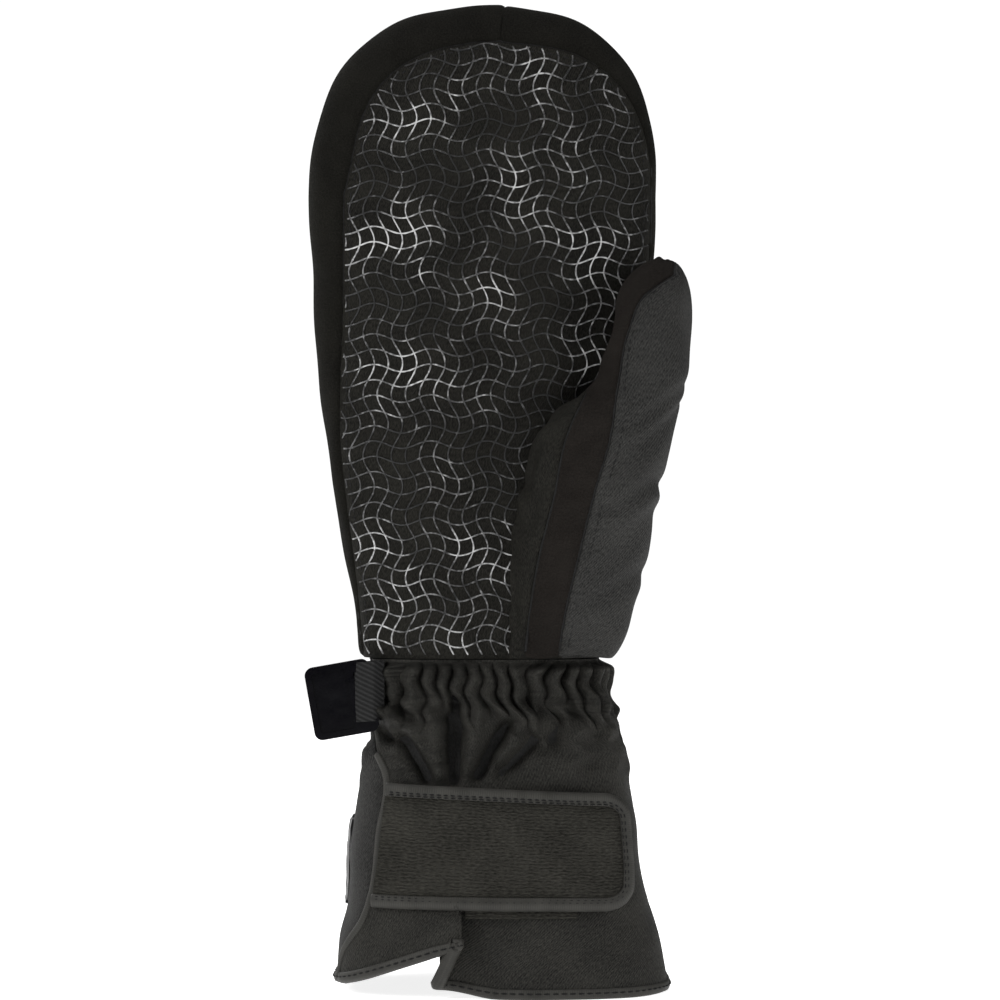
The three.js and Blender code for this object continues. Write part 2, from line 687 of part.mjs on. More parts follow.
function buildLabel() {
  const depth = CUFF_LINING_DEPTH + CUFF_LINING_CLOTH + GAP;
  const left = HEM_LEAN / 2 - LABEL_WIDTH / 2;
  const right = left + LABEL_WIDTH;
  const top = LABEL_BOTTOM + LABEL_HEIGHT;
  const outline = roundedRectangle(left, right, LABEL_BOTTOM, top, LABEL_CORNER);
  const out = -(depth + LABEL_CLOTH);
  add("inside_label", "label", onCuff(out, LABEL_CLOTH, outline, 0, FAR, LAYER_SIDES));
}

// ---------------------------------------------------------------- clip
// Local frame: the bar stands along Z at the origin, and the plate reaches towards -X.

const clipPlace = new THREE.Matrix4();

function placeClip() {
  const z = CUFF_LENGTH - WEBBING_CENTRE_DROP;
  const section = cuffSection(z, evenInset(0));
  const x = section.cx - section.half + CLIP_INSET + CLIP_BAR / 2;
  const y = cuffFrontPoint(x + WEBBING_TAIL / 2, z, 0).y - WEBBING_CLOTH - CLIP_STANDOFF;
  clipPlace.makeRotationY(THREE.MathUtils.degToRad(CLIP_DROOP));
  clipPlace.setPosition(x, y, z);
}

function inClipPlace(geometry) {
  return solidOf(geometry.applyMatrix4(clipPlace));
}

function clipSlab(outline, yLow, yHigh) {
  const geometry = new THREE.ExtrudeGeometry(outline, {
    depth: yHigh - yLow,
    bevelEnabled: false,
    curveSegments: CLIP_SEGMENTS,
  });
  geometry.rotateX(Math.PI / 2);
  geometry.translate(0, yHigh, 0);
  return inClipPlace(geometry);
}

// A rod along the clip's bar.
function barRod(radius, length) {
  const geometry = new THREE.CylinderGeometry(radius, radius, length, BAR_SIDES);
  geometry.rotateX(Math.PI / 2);
  return inClipPlace(geometry);
}

function buildClip() {
  const left = CLIP_BAR / 2 - CLIP_WIDTH;
  const half = CLIP_HEIGHT / 2;
  const body = roundedRectangle(left, CLIP_BAR / 2, -half, half, CLIP_CORNER);
  const plate = clipSlab(body, -CLIP_THICKNESS / 2, CLIP_THICKNESS / 2);
  const slotHalf = WEBBING_WIDTH / 2 + 2 * GAP;
  const slotLeft = -CLIP_BAR / 2 - CLIP_SLOT;
  const slotOutline = polygon([
    [slotLeft, -slotHalf],
    [CLIP_BAR, -slotHalf],
    [CLIP_BAR, slotHalf],
    [slotLeft, slotHalf],
  ]);
  const slot = clipSlab(slotOutline, -CLIP_THICKNESS, CLIP_THICKNESS);
  const high = half - CLIP_RIM;
  const right = slotLeft - CLIP_RIM;
  const face = roundedRectangle(left + CLIP_RIM, right, -high, high, CLIP_RECESS_CORNER);
  const recess = clipSlab(face, -CLIP_THICKNESS, -CLIP_THICKNESS / 2 + CLIP_RECESS);
  const bar = barRod(CLIP_BAR / 2, 2 * slotHalf + 2 * CLIP_RIM);
  add("clip_plate", "clip", plate.subtract(slot).subtract(recess).add(bar));
}

// A sleeve round the clip's bar, with a tail that is sewn on the wrist.
function buildWebbing() {
  const inner = CLIP_BAR / 2 + GAP;
  const outer = inner + WEBBING_CLOTH;
  const bore = barRod(inner, 2 * WEBBING_WIDTH);
  const sleeve = barRod(outer, WEBBING_WIDTH);
  const geometry = new THREE.BoxGeometry(WEBBING_TAIL + outer, 2 * outer, WEBBING_WIDTH);
  geometry.translate((WEBBING_TAIL + outer) / 2, 0, 0);
  const tail = inClipPlace(geometry);
  const face = (out) => cuffSolid(evenInset(-out), 0, CUFF_LENGTH + EDGE, SHELL_SIDES);
  const onWrist = tail.intersect(face(GAP + WEBBING_TAIL_LAYERS * WEBBING_CLOTH));
  const sewn = sleeve.add(onWrist).subtract(bore).subtract(face(GAP));
  add("clip_webbing", "webbing", largest(sewn));
}

// ---------------------------------------------------------------- assembly

placeClip();
buildHandShell();
buildHandLayers();
buildThumb();
buildCuff();
buildHemBinding();
buildElastics();
buildPiping();
buildStrap();
buildPads();
buildBadge();
buildLabel();
buildClip();
buildWebbing();

// Put the origin under the middle of the mitten, on the plane it stands on.
const extent = new THREE.Box3().setFromObject(mitten);
const centre = extent.getCenter(new THREE.Vector3());
mitten.position.set(-centre.x, -centre.y, -extent.min.z);

export default mitten;
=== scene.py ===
"""The looks of a right-hand ski mitten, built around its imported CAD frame.

Shapes are worked out in millimetres and turned into metres when a mesh is made. "Local" x and y are
measured from the middle of the wrist; z is the frame's own. The palm faces -Y and the thumb is at +X.
"""

import math

import bmesh
import bpy
import numpy as np
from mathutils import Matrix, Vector


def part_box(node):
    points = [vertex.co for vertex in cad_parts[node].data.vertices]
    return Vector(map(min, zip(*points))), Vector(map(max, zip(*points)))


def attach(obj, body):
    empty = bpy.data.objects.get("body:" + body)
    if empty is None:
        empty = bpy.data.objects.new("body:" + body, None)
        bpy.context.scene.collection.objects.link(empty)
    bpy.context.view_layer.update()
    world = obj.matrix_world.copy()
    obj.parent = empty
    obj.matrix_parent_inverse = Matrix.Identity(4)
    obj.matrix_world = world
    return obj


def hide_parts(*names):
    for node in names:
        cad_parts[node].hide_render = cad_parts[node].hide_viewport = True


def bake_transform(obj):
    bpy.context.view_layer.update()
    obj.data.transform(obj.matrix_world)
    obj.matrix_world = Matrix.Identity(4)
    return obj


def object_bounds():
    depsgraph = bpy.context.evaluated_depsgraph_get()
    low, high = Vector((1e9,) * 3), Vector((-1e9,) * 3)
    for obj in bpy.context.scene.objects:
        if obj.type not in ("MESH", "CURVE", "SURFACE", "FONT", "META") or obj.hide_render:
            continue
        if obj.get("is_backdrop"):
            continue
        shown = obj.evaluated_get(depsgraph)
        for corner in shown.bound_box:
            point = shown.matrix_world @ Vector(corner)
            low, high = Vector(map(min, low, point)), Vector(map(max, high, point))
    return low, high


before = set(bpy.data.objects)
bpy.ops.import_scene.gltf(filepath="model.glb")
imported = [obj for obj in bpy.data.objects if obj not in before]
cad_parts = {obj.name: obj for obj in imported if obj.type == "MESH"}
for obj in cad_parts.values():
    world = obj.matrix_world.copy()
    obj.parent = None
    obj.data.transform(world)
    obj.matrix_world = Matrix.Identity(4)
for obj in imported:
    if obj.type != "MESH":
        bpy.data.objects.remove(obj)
CAD_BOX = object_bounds()

MM = 0.001
TAU = 2 * math.pi


def cad_box(node):
    """A CAD node's lowest and highest corners, in millimetres."""
    low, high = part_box(node)
    return np.array(low) / MM, np.array(high) / MM


# ---- sizes, from the frame

ELASTIC_BOX = cad_box("wrist_elastic_upper")
HEM_BOX = cad_box("hem_binding")
HAND_BOX = cad_box("side_wall_little_finger")
LINING_BOX = cad_box("cuff_lining")

ORIGIN = np.array([(ELASTIC_BOX[0][0] + ELASTIC_BOX[1][0]) / 2, (HEM_BOX[0][1] + HEM_BOX[1][1]) / 2, 0])
WRIST_Z = LINING_BOX[1][2] + 0.3
TIP_Z = HAND_BOX[1][2]

# ---- driving dimensions

FINGER_DOME = 60
SHOULDER_Z = TIP_Z - FINGER_DOME
PALM_HALF = 53.9
WRIST_HALF = 37.75
PALM_FRONT, PALM_BACK = 22, 26
WRIST_FRONT, WRIST_BACK = 19.5, 21
DOME_LEAN = 2
PLAN_POWER = 2.5  # the fingertips' outline, seen from the palm
FRONT_POWER = 3.2
BACK_POWER = 2.6
JOIN_ANGLE = 84.7  # where the two side walls meet, in degrees from the thumb side

WAIST_Z = 94
HEM_DEPTH = 36
FLARE_POWER = 1.15

SHELL = 1.0  # thickness of the shell cloth
SEAM_TUCK = 1.7  # how deep a panel's edge is drawn into its seam
SEAM_ROLL = 4.2  # over what distance


# ---- numbers


def mix(a, b, t):
    return a + (b - a) * t


def ease(t):
    t = np.clip(t, 0, 1)
    return t * t * (3 - 2 * t)


def bump_at(x, middle, width):
    return np.exp(-(((x - middle) / width) ** 2))


def keyed(x, places, values):
    """A smooth curve through the values at the places, held level past its ends."""
    p, v = np.array(places, float), np.array(values, float)
    slope = np.gradient(v, p)
    x = np.clip(x, p[0], p[-1])
    k = np.clip(np.searchsorted(p, x, side="right") - 1, 0, len(p) - 2)
    h = p[k + 1] - p[k]
    t = (x - p[k]) / h
    start = (2 * t**3 - 3 * t**2 + 1) * v[k] + (t**3 - 2 * t**2 + t) * h * slope[k]
    end = (3 * t**2 - 2 * t**3) * v[k + 1] + (t**3 - t**2) * h * slope[k + 1]
    return start + end


def ripples(a, b, length, seed, waves=14):
    """Smooth unevenness of about -1 to 1, with features about length across."""
    rng = np.random.default_rng(seed)
    total = 0
    for _ in range(waves):
        angle, phase = rng.uniform(0, TAU, 2)
        k = TAU / (length * rng.uniform(0.7, 1.6))
        total = total + np.sin(k * (a * math.cos(angle) + b * math.sin(angle)) + phase)
    return total / math.sqrt(waves)


def unit(v):
    return v / np.maximum(np.linalg.norm(v, axis=-1, keepdims=True), 1e-9)


def stack(x, y, z):
    return np.stack(np.broadcast_arrays(x, y, z), axis=-1)


def run_of(path):
    """Length run along a path up to each of its points."""
    return np.concatenate([[0], np.cumsum(np.linalg.norm(np.diff(path, axis=0), axis=1))])


def runs_across(grid):
    """Length run across each row of a grid up to each of its points."""
    across = np.linalg.norm(np.diff(grid, axis=1), axis=2)
    return np.concatenate([np.zeros((len(grid), 1)), np.cumsum(across, axis=1)], axis=1)


def round_radius(turn, power):
    """Radius of a superellipse with half widths of 1, at an angle."""
    return (np.abs(np.cos(turn)) ** power + np.abs(np.sin(turn)) ** power) ** (-1 / power)


def closer_at_ends(count):
    """Numbers from 0 to 1, somewhat closer together at both ends."""
    u = np.linspace(0, 1, count)
    return 0.5 * u + 0.5 * (0.5 - 0.5 * np.cos(math.pi * u))


def tuck(gap, roll=SEAM_ROLL, depth=SEAM_TUCK):
    """Displacement of a panel at a distance from its seam."""
    return -depth * (1 - np.sqrt(1 - (1 - np.clip(gap / roll, 0, 1)) ** 2 + 1e-9))


# ---- meshes


def surface_normals(grid, axis):
    """Unit normals of a grid of points, away from the upright axis through the local point axis."""
    n = unit(np.cross(np.gradient(grid, axis=1), np.gradient(grid, axis=0)))
    away = grid[..., :2] - (np.array(axis) + ORIGIN[:2])
    if (n[..., :2] * away).sum() < 0:
        n = -n
    return n


def lengths(grid):
    """Cloth coordinates of a grid in millimetres: across from its middle column, and along it."""
    across = runs_across(grid)
    middle = grid.shape[1] // 2
    upward = np.broadcast_to(run_of(grid[:, middle])[:, None], across.shape)
    return np.stack([across - across[:, middle : middle + 1], upward], axis=-1)


SOFT = "_soft"  # ends the name of a piece that stands for the CAD node of that name


def piece_name(name):
    return name + SOFT if name in bpy.data.objects else name


def stand_for(piece, body=None):
    """The piece replaces the CAD node that it is named after, and rides on a body if one is given."""
    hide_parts(piece.name.removesuffix(SOFT))
    if body:
        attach(piece, body)
    return piece


def finished(name, mesh, finish):
    """The piece of a mesh, with its material."""
    material, slot = FINISHES[finish]
    mesh.materials.append(material)
    piece = bpy.data.objects.new(piece_name(name), mesh)
    bpy.context.scene.collection.objects.link(piece)
    return piece


def new_piece(name, points, faces, finish, uv=None):
    """A mesh object from points in millimetres in the row frame, and faces of 4 corners."""
    used, faces = np.unique(np.asarray(faces, int), return_inverse=True)
    faces = faces.reshape(-1, 4)
    points = np.asarray(points, float)[used]
    mesh = bpy.data.meshes.new(name)
    mesh.vertices.add(len(points))
    mesh.vertices.foreach_set("co", (points * MM).astype(np.float32).ravel())
    mesh.loops.add(faces.size)
    mesh.loops.foreach_set("vertex_index", faces.ravel())
    mesh.polygons.add(len(faces))
    mesh.polygons.foreach_set("loop_start", np.arange(len(faces)) * 4)
    layer = mesh.uv_layers.new(name="cloth")
    if uv is not None:
        layer.uv.foreach_set("vector", np.asarray(uv, np.float32).ravel())
    mesh.update(calc_edges=True)
    mesh.validate()
    mesh.shade_smooth()
    mesh.set_sharp_from_angle(angle=math.radians(55))
    return finished(name, mesh, finish)


def quads(rows, cols):
    r, c = np.meshgrid(np.arange(rows - 1), np.arange(cols - 1), indexing="ij")
    a = (r * cols + c).ravel()
    return np.stack([a, a + 1, a + cols + 1, a + cols], axis=1)


def cloth(name, grid, finish, thickness, axis=(0, 0), wrap=False, normals=None):
    """A closed sheet of cloth whose outer face is the grid. With wrap, its last column is its first."""
    rows, cols = grid.shape[:2]
    n = surface_normals(grid, axis) if normals is None else normals
    if wrap:
        n[:, 0] = n[:, -1] = unit(n[:, 0] + n[:, -1])
    inner = grid - n * thickness
    points = np.concatenate([grid.reshape(-1, 3), inner.reshape(-1, 3)])
    uv = np.tile(lengths(grid).reshape(-1, 2), (2, 1))
    size = rows * cols
    face = quads(rows, cols)
    ring = np.arange(size).reshape(rows, cols)
    edges = [ring[0], ring[-1][::-1]] if wrap else [ring[0], ring[:, -1], ring[-1][::-1], ring[:, 0][::-1]]
    walls = [np.stack([e[1:], e[:-1], e[:-1] + size, e[1:] + size], axis=1) for e in edges]
    faces = np.concatenate([face, face[:, ::-1] + size, *walls])
    first = grid.reshape(-1, 3)[face[len(face) // 2]]
    turn = np.cross(first[1] - first[0], first[3] - first[0])
    if turn @ n.reshape(-1, 3)[face[len(face) // 2][0]] < 0:
        faces = faces[:, ::-1]
    loops = uv[faces.ravel()]
    if wrap:
        columns = faces % cols
        faces = np.where(columns == cols - 1, faces - (cols - 1), faces)
    return new_piece(name, points, faces, finish, loops)


def joined(parts):
    """Several (points, faces) as one."""
    points, faces, start = [], [], 0
    for p, f in parts:
        points.append(p)
        faces.append(f + start)
        start += len(p)
    return np.concatenate(points), np.concatenate(faces)


def sweep(path, normals, profile, loop=False):
    """(points, faces) of a closed profile, as (across, out) pairs, carried along a path."""
    path, normals = np.asarray(path, float), np.asarray(normals, float)
    if loop:
        ahead = np.roll(path, -1, axis=0) - np.roll(path, 1, axis=0)
    else:
        ahead = np.gradient(path, axis=0)
    ahead = unit(ahead)
    across = unit(np.cross(normals, ahead))
    out = np.cross(ahead, across)
    profile = np.asarray(profile, float)
    if profile.ndim == 2:
        profile = np.broadcast_to(profile, (len(path), *profile.shape))
    rings = path[:, None] + across[:, None] * profile[..., :1] + out[:, None] * profile[..., 1:]
    n, m = len(path), profile.shape[1]
    points = rings.reshape(-1, 3)
    r, c = np.meshgrid(np.arange(n if loop else n - 1), np.arange(m), indexing="ij")
    a, b = (r * m + c).ravel(), (r * m + (c + 1) % m).ravel()
    faces = np.stack([a, b, (b + m) % (n * m), (a + m) % (n * m)], axis=1)
    if not loop:
        ends = [points[:m].mean(0), points[-m:].mean(0)]
        k = np.arange(m)
        low = np.stack([np.full(m, n * m), (k + 1) % m, k, np.full(m, n * m)], axis=1)[:, :3]
        high = np.stack([np.full(m, n * m + 1), k + (n - 1) * m, (k + 1) % m + (n - 1) * m], axis=1)
        low, high = (np.concatenate([f, f[:, 2:]], axis=1) for f in (low, high))
        points = np.concatenate([points, ends])
        return points, faces, np.concatenate([low, high])
    return points, faces, np.zeros((0, 4), int)


def swept(name, paths, profile, finish, loop=False):
    """One piece of several paths, each (points, normals), that share a profile."""
    mesh = bpy.data.meshes.new(name)
    work = bmesh.new()
    layer = work.loops.layers.uv.new("cloth")
    for path, normals in paths:
        points, sides, caps = sweep(path, normals, profile, loop)
        made = [work.verts.new(p * MM) for p in points]
        m = (len(points) - (0 if loop else 2)) // len(path)
        run = run_of(path)
        for k, f in enumerate(sides):
            face = work.faces.new([made[i] for i in f])
            face.smooth = True
            row, col = k // m, k % m
            for corner, (c, r) in zip(face.loops, ((0, 0), (1, 0), (1, 1), (0, 1))):
                corner[layer].uv = ((col + c) * 0.4, run[min(row + r, len(run) - 1)])
        for f in caps:
            work.faces.new([made[i] for i in f[:3]])
    bmesh.ops.recalc_face_normals(work, faces=work.faces)
    work.to_mesh(mesh)
    work.free()
    return finished(name, mesh, finish)


def tube(radius, sides=8, height=None):
    """A round profile, or an oval one where its height is given."""
    height = height or radius
    turns = np.linspace(0, TAU, sides, endpoint=False)
    return [(radius * math.cos(a), height * math.sin(a)) for a in turns]


def along(path, step):
    """Places every step along a path: fractional indices into it."""
    run = run_of(path)
    count = max(2, int(run[-1] / step))
    return np.interp(np.linspace(0, run[-1], count), run, np.arange(len(path)))


def at_index(values, index):
    k = np.arange(len(values))
    return np.stack([np.interp(index, k, values[:, i]) for i in range(3)], axis=1)


STITCH_SIDES = 6
STITCH_RINGS = 5


def stitches(name, rows, finish="thread", pitch=2.5, length=1.8, radius=0.3):
    """Sewn stitches along rows, each row a path and its normals: a thread that dips at both ends."""
    t = np.linspace(-1, 1, STITCH_RINGS)
    angle = np.linspace(0, TAU, STITCH_SIDES, endpoint=False)
    girth = radius * np.sqrt(1 - 0.86 * t**2)
    shape = stack(
        (t * length / 2)[:, None],
        girth[:, None] * np.cos(angle),
        girth[:, None] * np.sin(angle) - (radius * 0.9 * t**2)[:, None],
    ).reshape(-1, 3)
    r, c = np.meshgrid(np.arange(STITCH_RINGS - 1), np.arange(STITCH_SIDES), indexing="ij")
    a, b = (r * STITCH_SIDES + c).ravel(), (r * STITCH_SIDES + (c + 1) % STITCH_SIDES).ravel()
    sides = np.stack([a, a + STITCH_SIDES, b + STITCH_SIDES, b], axis=1)
    last = (STITCH_RINGS - 1) * STITCH_SIDES
    caps = np.array([[0, 1, 2, 3], [0, 3, 4, 5]])
    caps = np.concatenate([caps, caps[:, ::-1] + last])
    parts = []
    for path, normals in rows:
        index = along(path, pitch)[1:-1]
        ahead = unit(np.gradient(path, axis=0))
        middle, forward, out = (at_index(v, index) for v in (path, ahead, normals))
        side = unit(np.cross(out, forward))
        out = np.cross(forward, side)
        frames = np.stack([forward, side, out], axis=1)
        points = middle[:, None] + np.einsum("ka,nab->nkb", shape, frames)
        start = np.arange(len(index))[:, None, None] * len(shape)
        faces = (np.concatenate([sides, caps])[None] + start).reshape(-1, 4)
        parts.append((points.reshape(-1, 3), faces))
    return new_piece(name, *joined(parts), finish)


# ---- materials


WAVE_TURNS = 20  # a wave texture of scale 1 makes this many radians per unit


class Nodes:
    """A Principled material and short ways to add the nodes that vary it."""

    def __init__(self, name, colour, roughness, **sockets):
        self.material = bpy.data.materials.new(name)
        self.material.use_nodes = True
        self.tree = self.material.node_tree
        self.shader = self.tree.nodes["Principled BSDF"]
        self.set("Base Color", (*colour, 1))
        self.set("Roughness", roughness)
        for socket, value in sockets.items():
            self.set(socket.replace("_", " "), value)

    def set(self, socket, value):
        self.shader.inputs[socket].default_value = value

    def add(self, kind, inputs=None, **settings):
        """A node with its settings, and its inputs either linked or set."""
        node = self.tree.nodes.new(kind)
        for key, value in settings.items():
            setattr(node, key, value)
        for socket, given in (inputs or {}).items():
            if isinstance(given, bpy.types.NodeSocket):
                self.tree.links.new(given, node.inputs[socket])
            else:
                node.inputs[socket].default_value = given
        return node

    def cloth_place(self, scale=(1, 1), turn=0):
        """Cloth coordinates in millimetres, turned and scaled."""
        uv = self.add("ShaderNodeUVMap", uv_map="cloth")
        turned = self.add(
            "ShaderNodeMapping",
            inputs={"Vector": uv.outputs[0], "Rotation": (0, 0, turn), "Scale": (*scale, 1)},
        )
        return turned.outputs[0]

    def solid_place(self):
        """Object coordinates in millimetres."""
        place = self.add("ShaderNodeTexCoord")
        scaled = self.add(
            "ShaderNodeMapping", inputs={"Vector": place.outputs["Object"], "Scale": (1000, 1000, 1000)}
        )
        return scaled.outputs[0]

    def noise(self, place, scale, detail=2, roughness=0.5):
        node = self.add(
            "ShaderNodeTexNoise",
            inputs={"Vector": place, "Scale": scale, "Detail": detail, "Roughness": roughness},
        )
        return node.outputs["Fac"]

    def bands(self, place, pitch, distortion=0.0, direction="X"):
        node = self.add(
            "ShaderNodeTexWave",
            bands_direction=direction,
            inputs={"Vector": place, "Scale": TAU / (WAVE_TURNS * pitch), "Distortion": distortion},
        )
        return node.outputs["Fac"]

    def cells(self, place, scale):
        node = self.add("ShaderNodeTexVoronoi", inputs={"Vector": place, "Scale": scale})
        return node.outputs["Distance"]

    def maths(self, operation, a, b=0.0):
        node = self.add("ShaderNodeMath", operation=operation, inputs={0: a, 1: b})
        return node.outputs[0]

    def blend(self, a, share_a, b, share_b):
        """The sum of two values, each times its share."""
        return self.maths("ADD", self.maths("MULTIPLY", a, share_a), self.maths("MULTIPLY", b, share_b))

    def remap(self, value, low, high, to_low=0, to_high=1):
        node = self.add(
            "ShaderNodeMapRange",
            inputs={"Value": value, "From Min": low, "From Max": high, "To Min": to_low, "To Max": to_high},
        )
        return node.outputs[0]

    def colour(self, share, dark, light):
        node = self.add("ShaderNodeMix", data_type="RGBA")
        self.tree.links.new(share, node.inputs["Factor"])
        node.inputs[6].default_value = (*dark, 1)
        node.inputs[7].default_value = (*light, 1)
        self.tree.links.new(node.outputs[2], self.shader.inputs["Base Color"])

    def roughness(self, value):
        self.tree.links.new(value, self.shader.inputs["Roughness"])

    def bump(self, *heights):
        """Bumps from (height, millimetres) pairs, coarse first."""
        normal = None
        for height, depth in heights:
            inputs = {"Height": height, "Distance": depth * MM, "Strength": 1.0}
            node = self.add("ShaderNodeBump", inputs=inputs)
            if normal is not None:
                self.tree.links.new(normal, node.inputs["Normal"])
            normal = node.outputs[0]
        self.tree.links.new(normal, self.shader.inputs["Normal"])


def grey(value, warm=0.0, red=0.0):
    """A near-black of that value; warm takes away blue, and red leans it to brown."""
    return (value * (1 + warm + red), value, value * (1 - 3.5 * warm))


def twill(name, dark, light, roughness, pitch, warm=0.02, turn=math.radians(35), depth=0.09, **sockets):
    """Diagonal ribs of a coated twill, broken up by its yarns, with slow changes of tone."""
    m = Nodes(name, grey(light, warm), roughness, **sockets)
    place = m.cloth_place(turn=turn)
    ribs = m.bands(place, pitch, distortion=0.6)
    yarn = m.remap(m.noise(m.cloth_place(scale=(2.2, 0.9)), 1.0, 3, 0.65), 0.35, 0.65, 0, 1)
    slow = m.noise(m.cloth_place(), 0.06, 3)
    tone = m.blend(ribs, 0.25, yarn, 0.75)
    tone = m.maths("ADD", tone, m.remap(slow, 0.35, 0.65, -0.15, 0.15))
    m.colour(m.remap(tone, 0.05, 0.95), grey(dark, warm), grey(light, warm))
    m.roughness(m.remap(slow, 0.3, 0.7, roughness - 0.08, roughness + 0.1))
    m.bump((slow, 0.5), (ribs, depth), (yarn, 0.06))
    return m.material


def brushed(name, dark, light, roughness, warm=0.03, red=0.0, fibre=0.22, **sockets):
    """A short brushed nap, such as softshell, suede or fleece."""
    m = Nodes(name, grey(light, warm), roughness, **sockets)
    place = m.cloth_place()
    nap = m.remap(m.noise(place, 1.6, 5, 0.75), 0.35, 0.65)
    lint = m.remap(m.noise(place, 1.1, 6, 0.8), 0.6, 0.7)
    slow = m.noise(place, 0.05, 4)
    tone = m.maths("ADD", m.maths("MULTIPLY", nap, 0.7), m.remap(slow, 0.35, 0.65, 0, 0.3))
    tone = m.maths("ADD", tone, m.maths("MULTIPLY", lint, 0.5))
    m.colour(m.remap(tone, 0, 1.3), grey(dark, warm, red), grey(light, warm, red))
    m.bump((slow, 0.6), (nap, fibre))
    return m.material


def knit(name, dark, light, roughness, pitch, **sockets):
    """Rows of short knitted loops."""
    m = Nodes(name, grey(light, 0.03), roughness, **sockets)
    place = m.cloth_place()
    rows = m.bands(place, pitch, distortion=5, direction="Y")
    loops = m.noise(m.cloth_place(scale=(0.45, 1.7)), 1.5, 3, 0.65)
    slow = m.noise(place, 0.07, 3)
    loops = m.remap(loops, 0.35, 0.65)
    tone = m.blend(rows, 0.25, loops, 0.65)
    tone = m.maths("ADD", tone, m.remap(slow, 0.35, 0.65, -0.1, 0.15))
    m.colour(tone, grey(dark, 0.04), grey(light, 0.04))
    m.bump((rows, 0.16), (loops, 0.2))
    return m.material


def ribbed(name, dark, light, roughness, pitch, direction="Y", depth=0.25, warm=0.0, turn=0.0, **sockets):
    """Webbing, elastic tape and other cloth with a plain rib."""
    m = Nodes(name, grey(light, warm), roughness, **sockets)
    rib = m.bands(m.cloth_place(turn=turn), pitch, direction=direction)
    yarn = m.noise(m.cloth_place(scale=(2.5, 1)), 1.6, 3)
    tone = m.blend(rib, 0.65, yarn, 0.35)
    m.colour(tone, grey(dark, warm), grey(light, warm))
    m.bump((rib, depth), (yarn, 0.1))
    return m.material


def coated_tape(name, dark, light, roughness):
    """A folded tape with a smooth coating and a faint weave."""
    m = Nodes(name, grey(light, 0.02), roughness, Specular_IOR_Level=0.16)
    place = m.cloth_place()
    weave = m.maths("MULTIPLY", m.bands(place, 0.7), m.bands(place, 0.7, direction="Y"))
    slow = m.noise(place, 0.15, 4)
    tone = m.blend(weave, 0.3, slow, 0.9)
    m.colour(m.remap(tone, 0.3, 0.8), grey(dark, 0.03), grey(light, 0.03))
    m.roughness(m.remap(slow, 0.3, 0.7, roughness - 0.08, roughness + 0.1))
    m.bump((slow, 0.4), (weave, 0.03))
    return m.material


def hooks():
    """Hook tape: a field of small pale tips over a dark ground."""
    m = Nodes("hook_tape", grey(0.012), 0.45)
    tips = m.cells(m.cloth_place(), 1.1)
    m.colour(m.remap(tips, 0, 0.6, 1, 0), grey(0.006), grey(0.03))
    m.bump((m.remap(tips, 0, 0.5, 1, 0), 0.6))
    return m.material


def glossy_plastic():
    """Moulded plastic with a fine waviness, and dust and rubbing in its gloss."""
    m = Nodes("clip_plastic", (0.001, 0.0009, 0.0018), 0.15, Specular_IOR_Level=0.08)
    place = m.solid_place()
    slow = m.noise(place, 0.08, 2)
    dust = m.noise(place, 1.4, 6, 0.75)
    m.colour(m.remap(dust, 0.55, 0.8), (0.001, 0.0009, 0.0018), (0.004, 0.004, 0.0046))
    m.roughness(m.remap(m.maths("ADD", slow, dust), 0.8, 1.3, 0.08, 0.22))
    m.bump((slow, 0.12), (dust, 0.006))
    return m.material


def silicone():
    """Printed silicone: rougher where it is rubbed, and painted pale in patches where it is smoother, as
    painted glints.
    """
    gloss = {"Coat_Weight": 0.25, "Coat_Roughness": 0.2, "Specular_IOR_Level": 0.25}
    m = Nodes("grip_silicone", grey(0.04), 0.4, **gloss)
    place = m.solid_place()
    slow = m.noise(place, 0.05, 3)
    wear_and_painted_glint = m.maths("ADD", slow, m.remap(m.noise(place, 0.6, 4, 0.7), 0.3, 0.7, -0.12, 0.12))
    # the mask sets roughness as wear, and its power paints pale patches as painted highlights
    painted_glint = m.maths("POWER", m.remap(wear_and_painted_glint, 0.38, 0.68), 2.6)
    # painted highlight: the lines' colour runs from near-black to pale grey to stand in for glints
    m.colour(painted_glint, grey(0.012), grey(0.5))
    m.roughness(m.remap(wear_and_painted_glint, 0.42, 0.64, 0.55, 0.2))
    m.bump((m.noise(place, 0.9, 4, 0.6), 0.12))
    return m.material


def badge_cloth():
    """Silver thread laid in ribs over a dark ground."""
    m = Nodes("badge_thread", grey(0.3), 0.35, Metallic=0.75)
    rib = m.bands(m.cloth_place(), 1.1, direction="X")
    thread = m.noise(m.cloth_place(scale=(0.5, 3)), 2, 4, 0.7)
    tone = m.maths("MULTIPLY", rib, m.remap(thread, 0.3, 0.7, 0.35, 1))
    m.colour(tone, grey(0.05), grey(0.5))
    m.bump((rib, 0.3), (thread, 0.15))
    return m.material


def film():
    """A thin, slightly crinkled waterproof film."""
    m = Nodes("membrane_film", (0.6, 0.61, 0.6), 0.4, Coat_Weight=0.2)
    place = m.cloth_place()
    crinkle = m.noise(place, 0.25, 6, 0.65)
    m.colour(m.remap(crinkle, 0.3, 0.7), grey(0.48), grey(0.66))
    m.roughness(m.remap(crinkle, 0.3, 0.7, 0.32, 0.5))
    m.bump((crinkle, 0.6))
    return m.material


def thread():
    """Dark sewing thread."""
    m = Nodes("thread", grey(0.01), 0.6, Specular_IOR_Level=0.12)
    fibre = m.noise(m.solid_place(), 2.5, 4, 0.7)
    m.colour(m.remap(fibre, 0.35, 0.65), grey(0.004), grey(0.015))
    m.bump((fibre, 0.12))
    return m.material


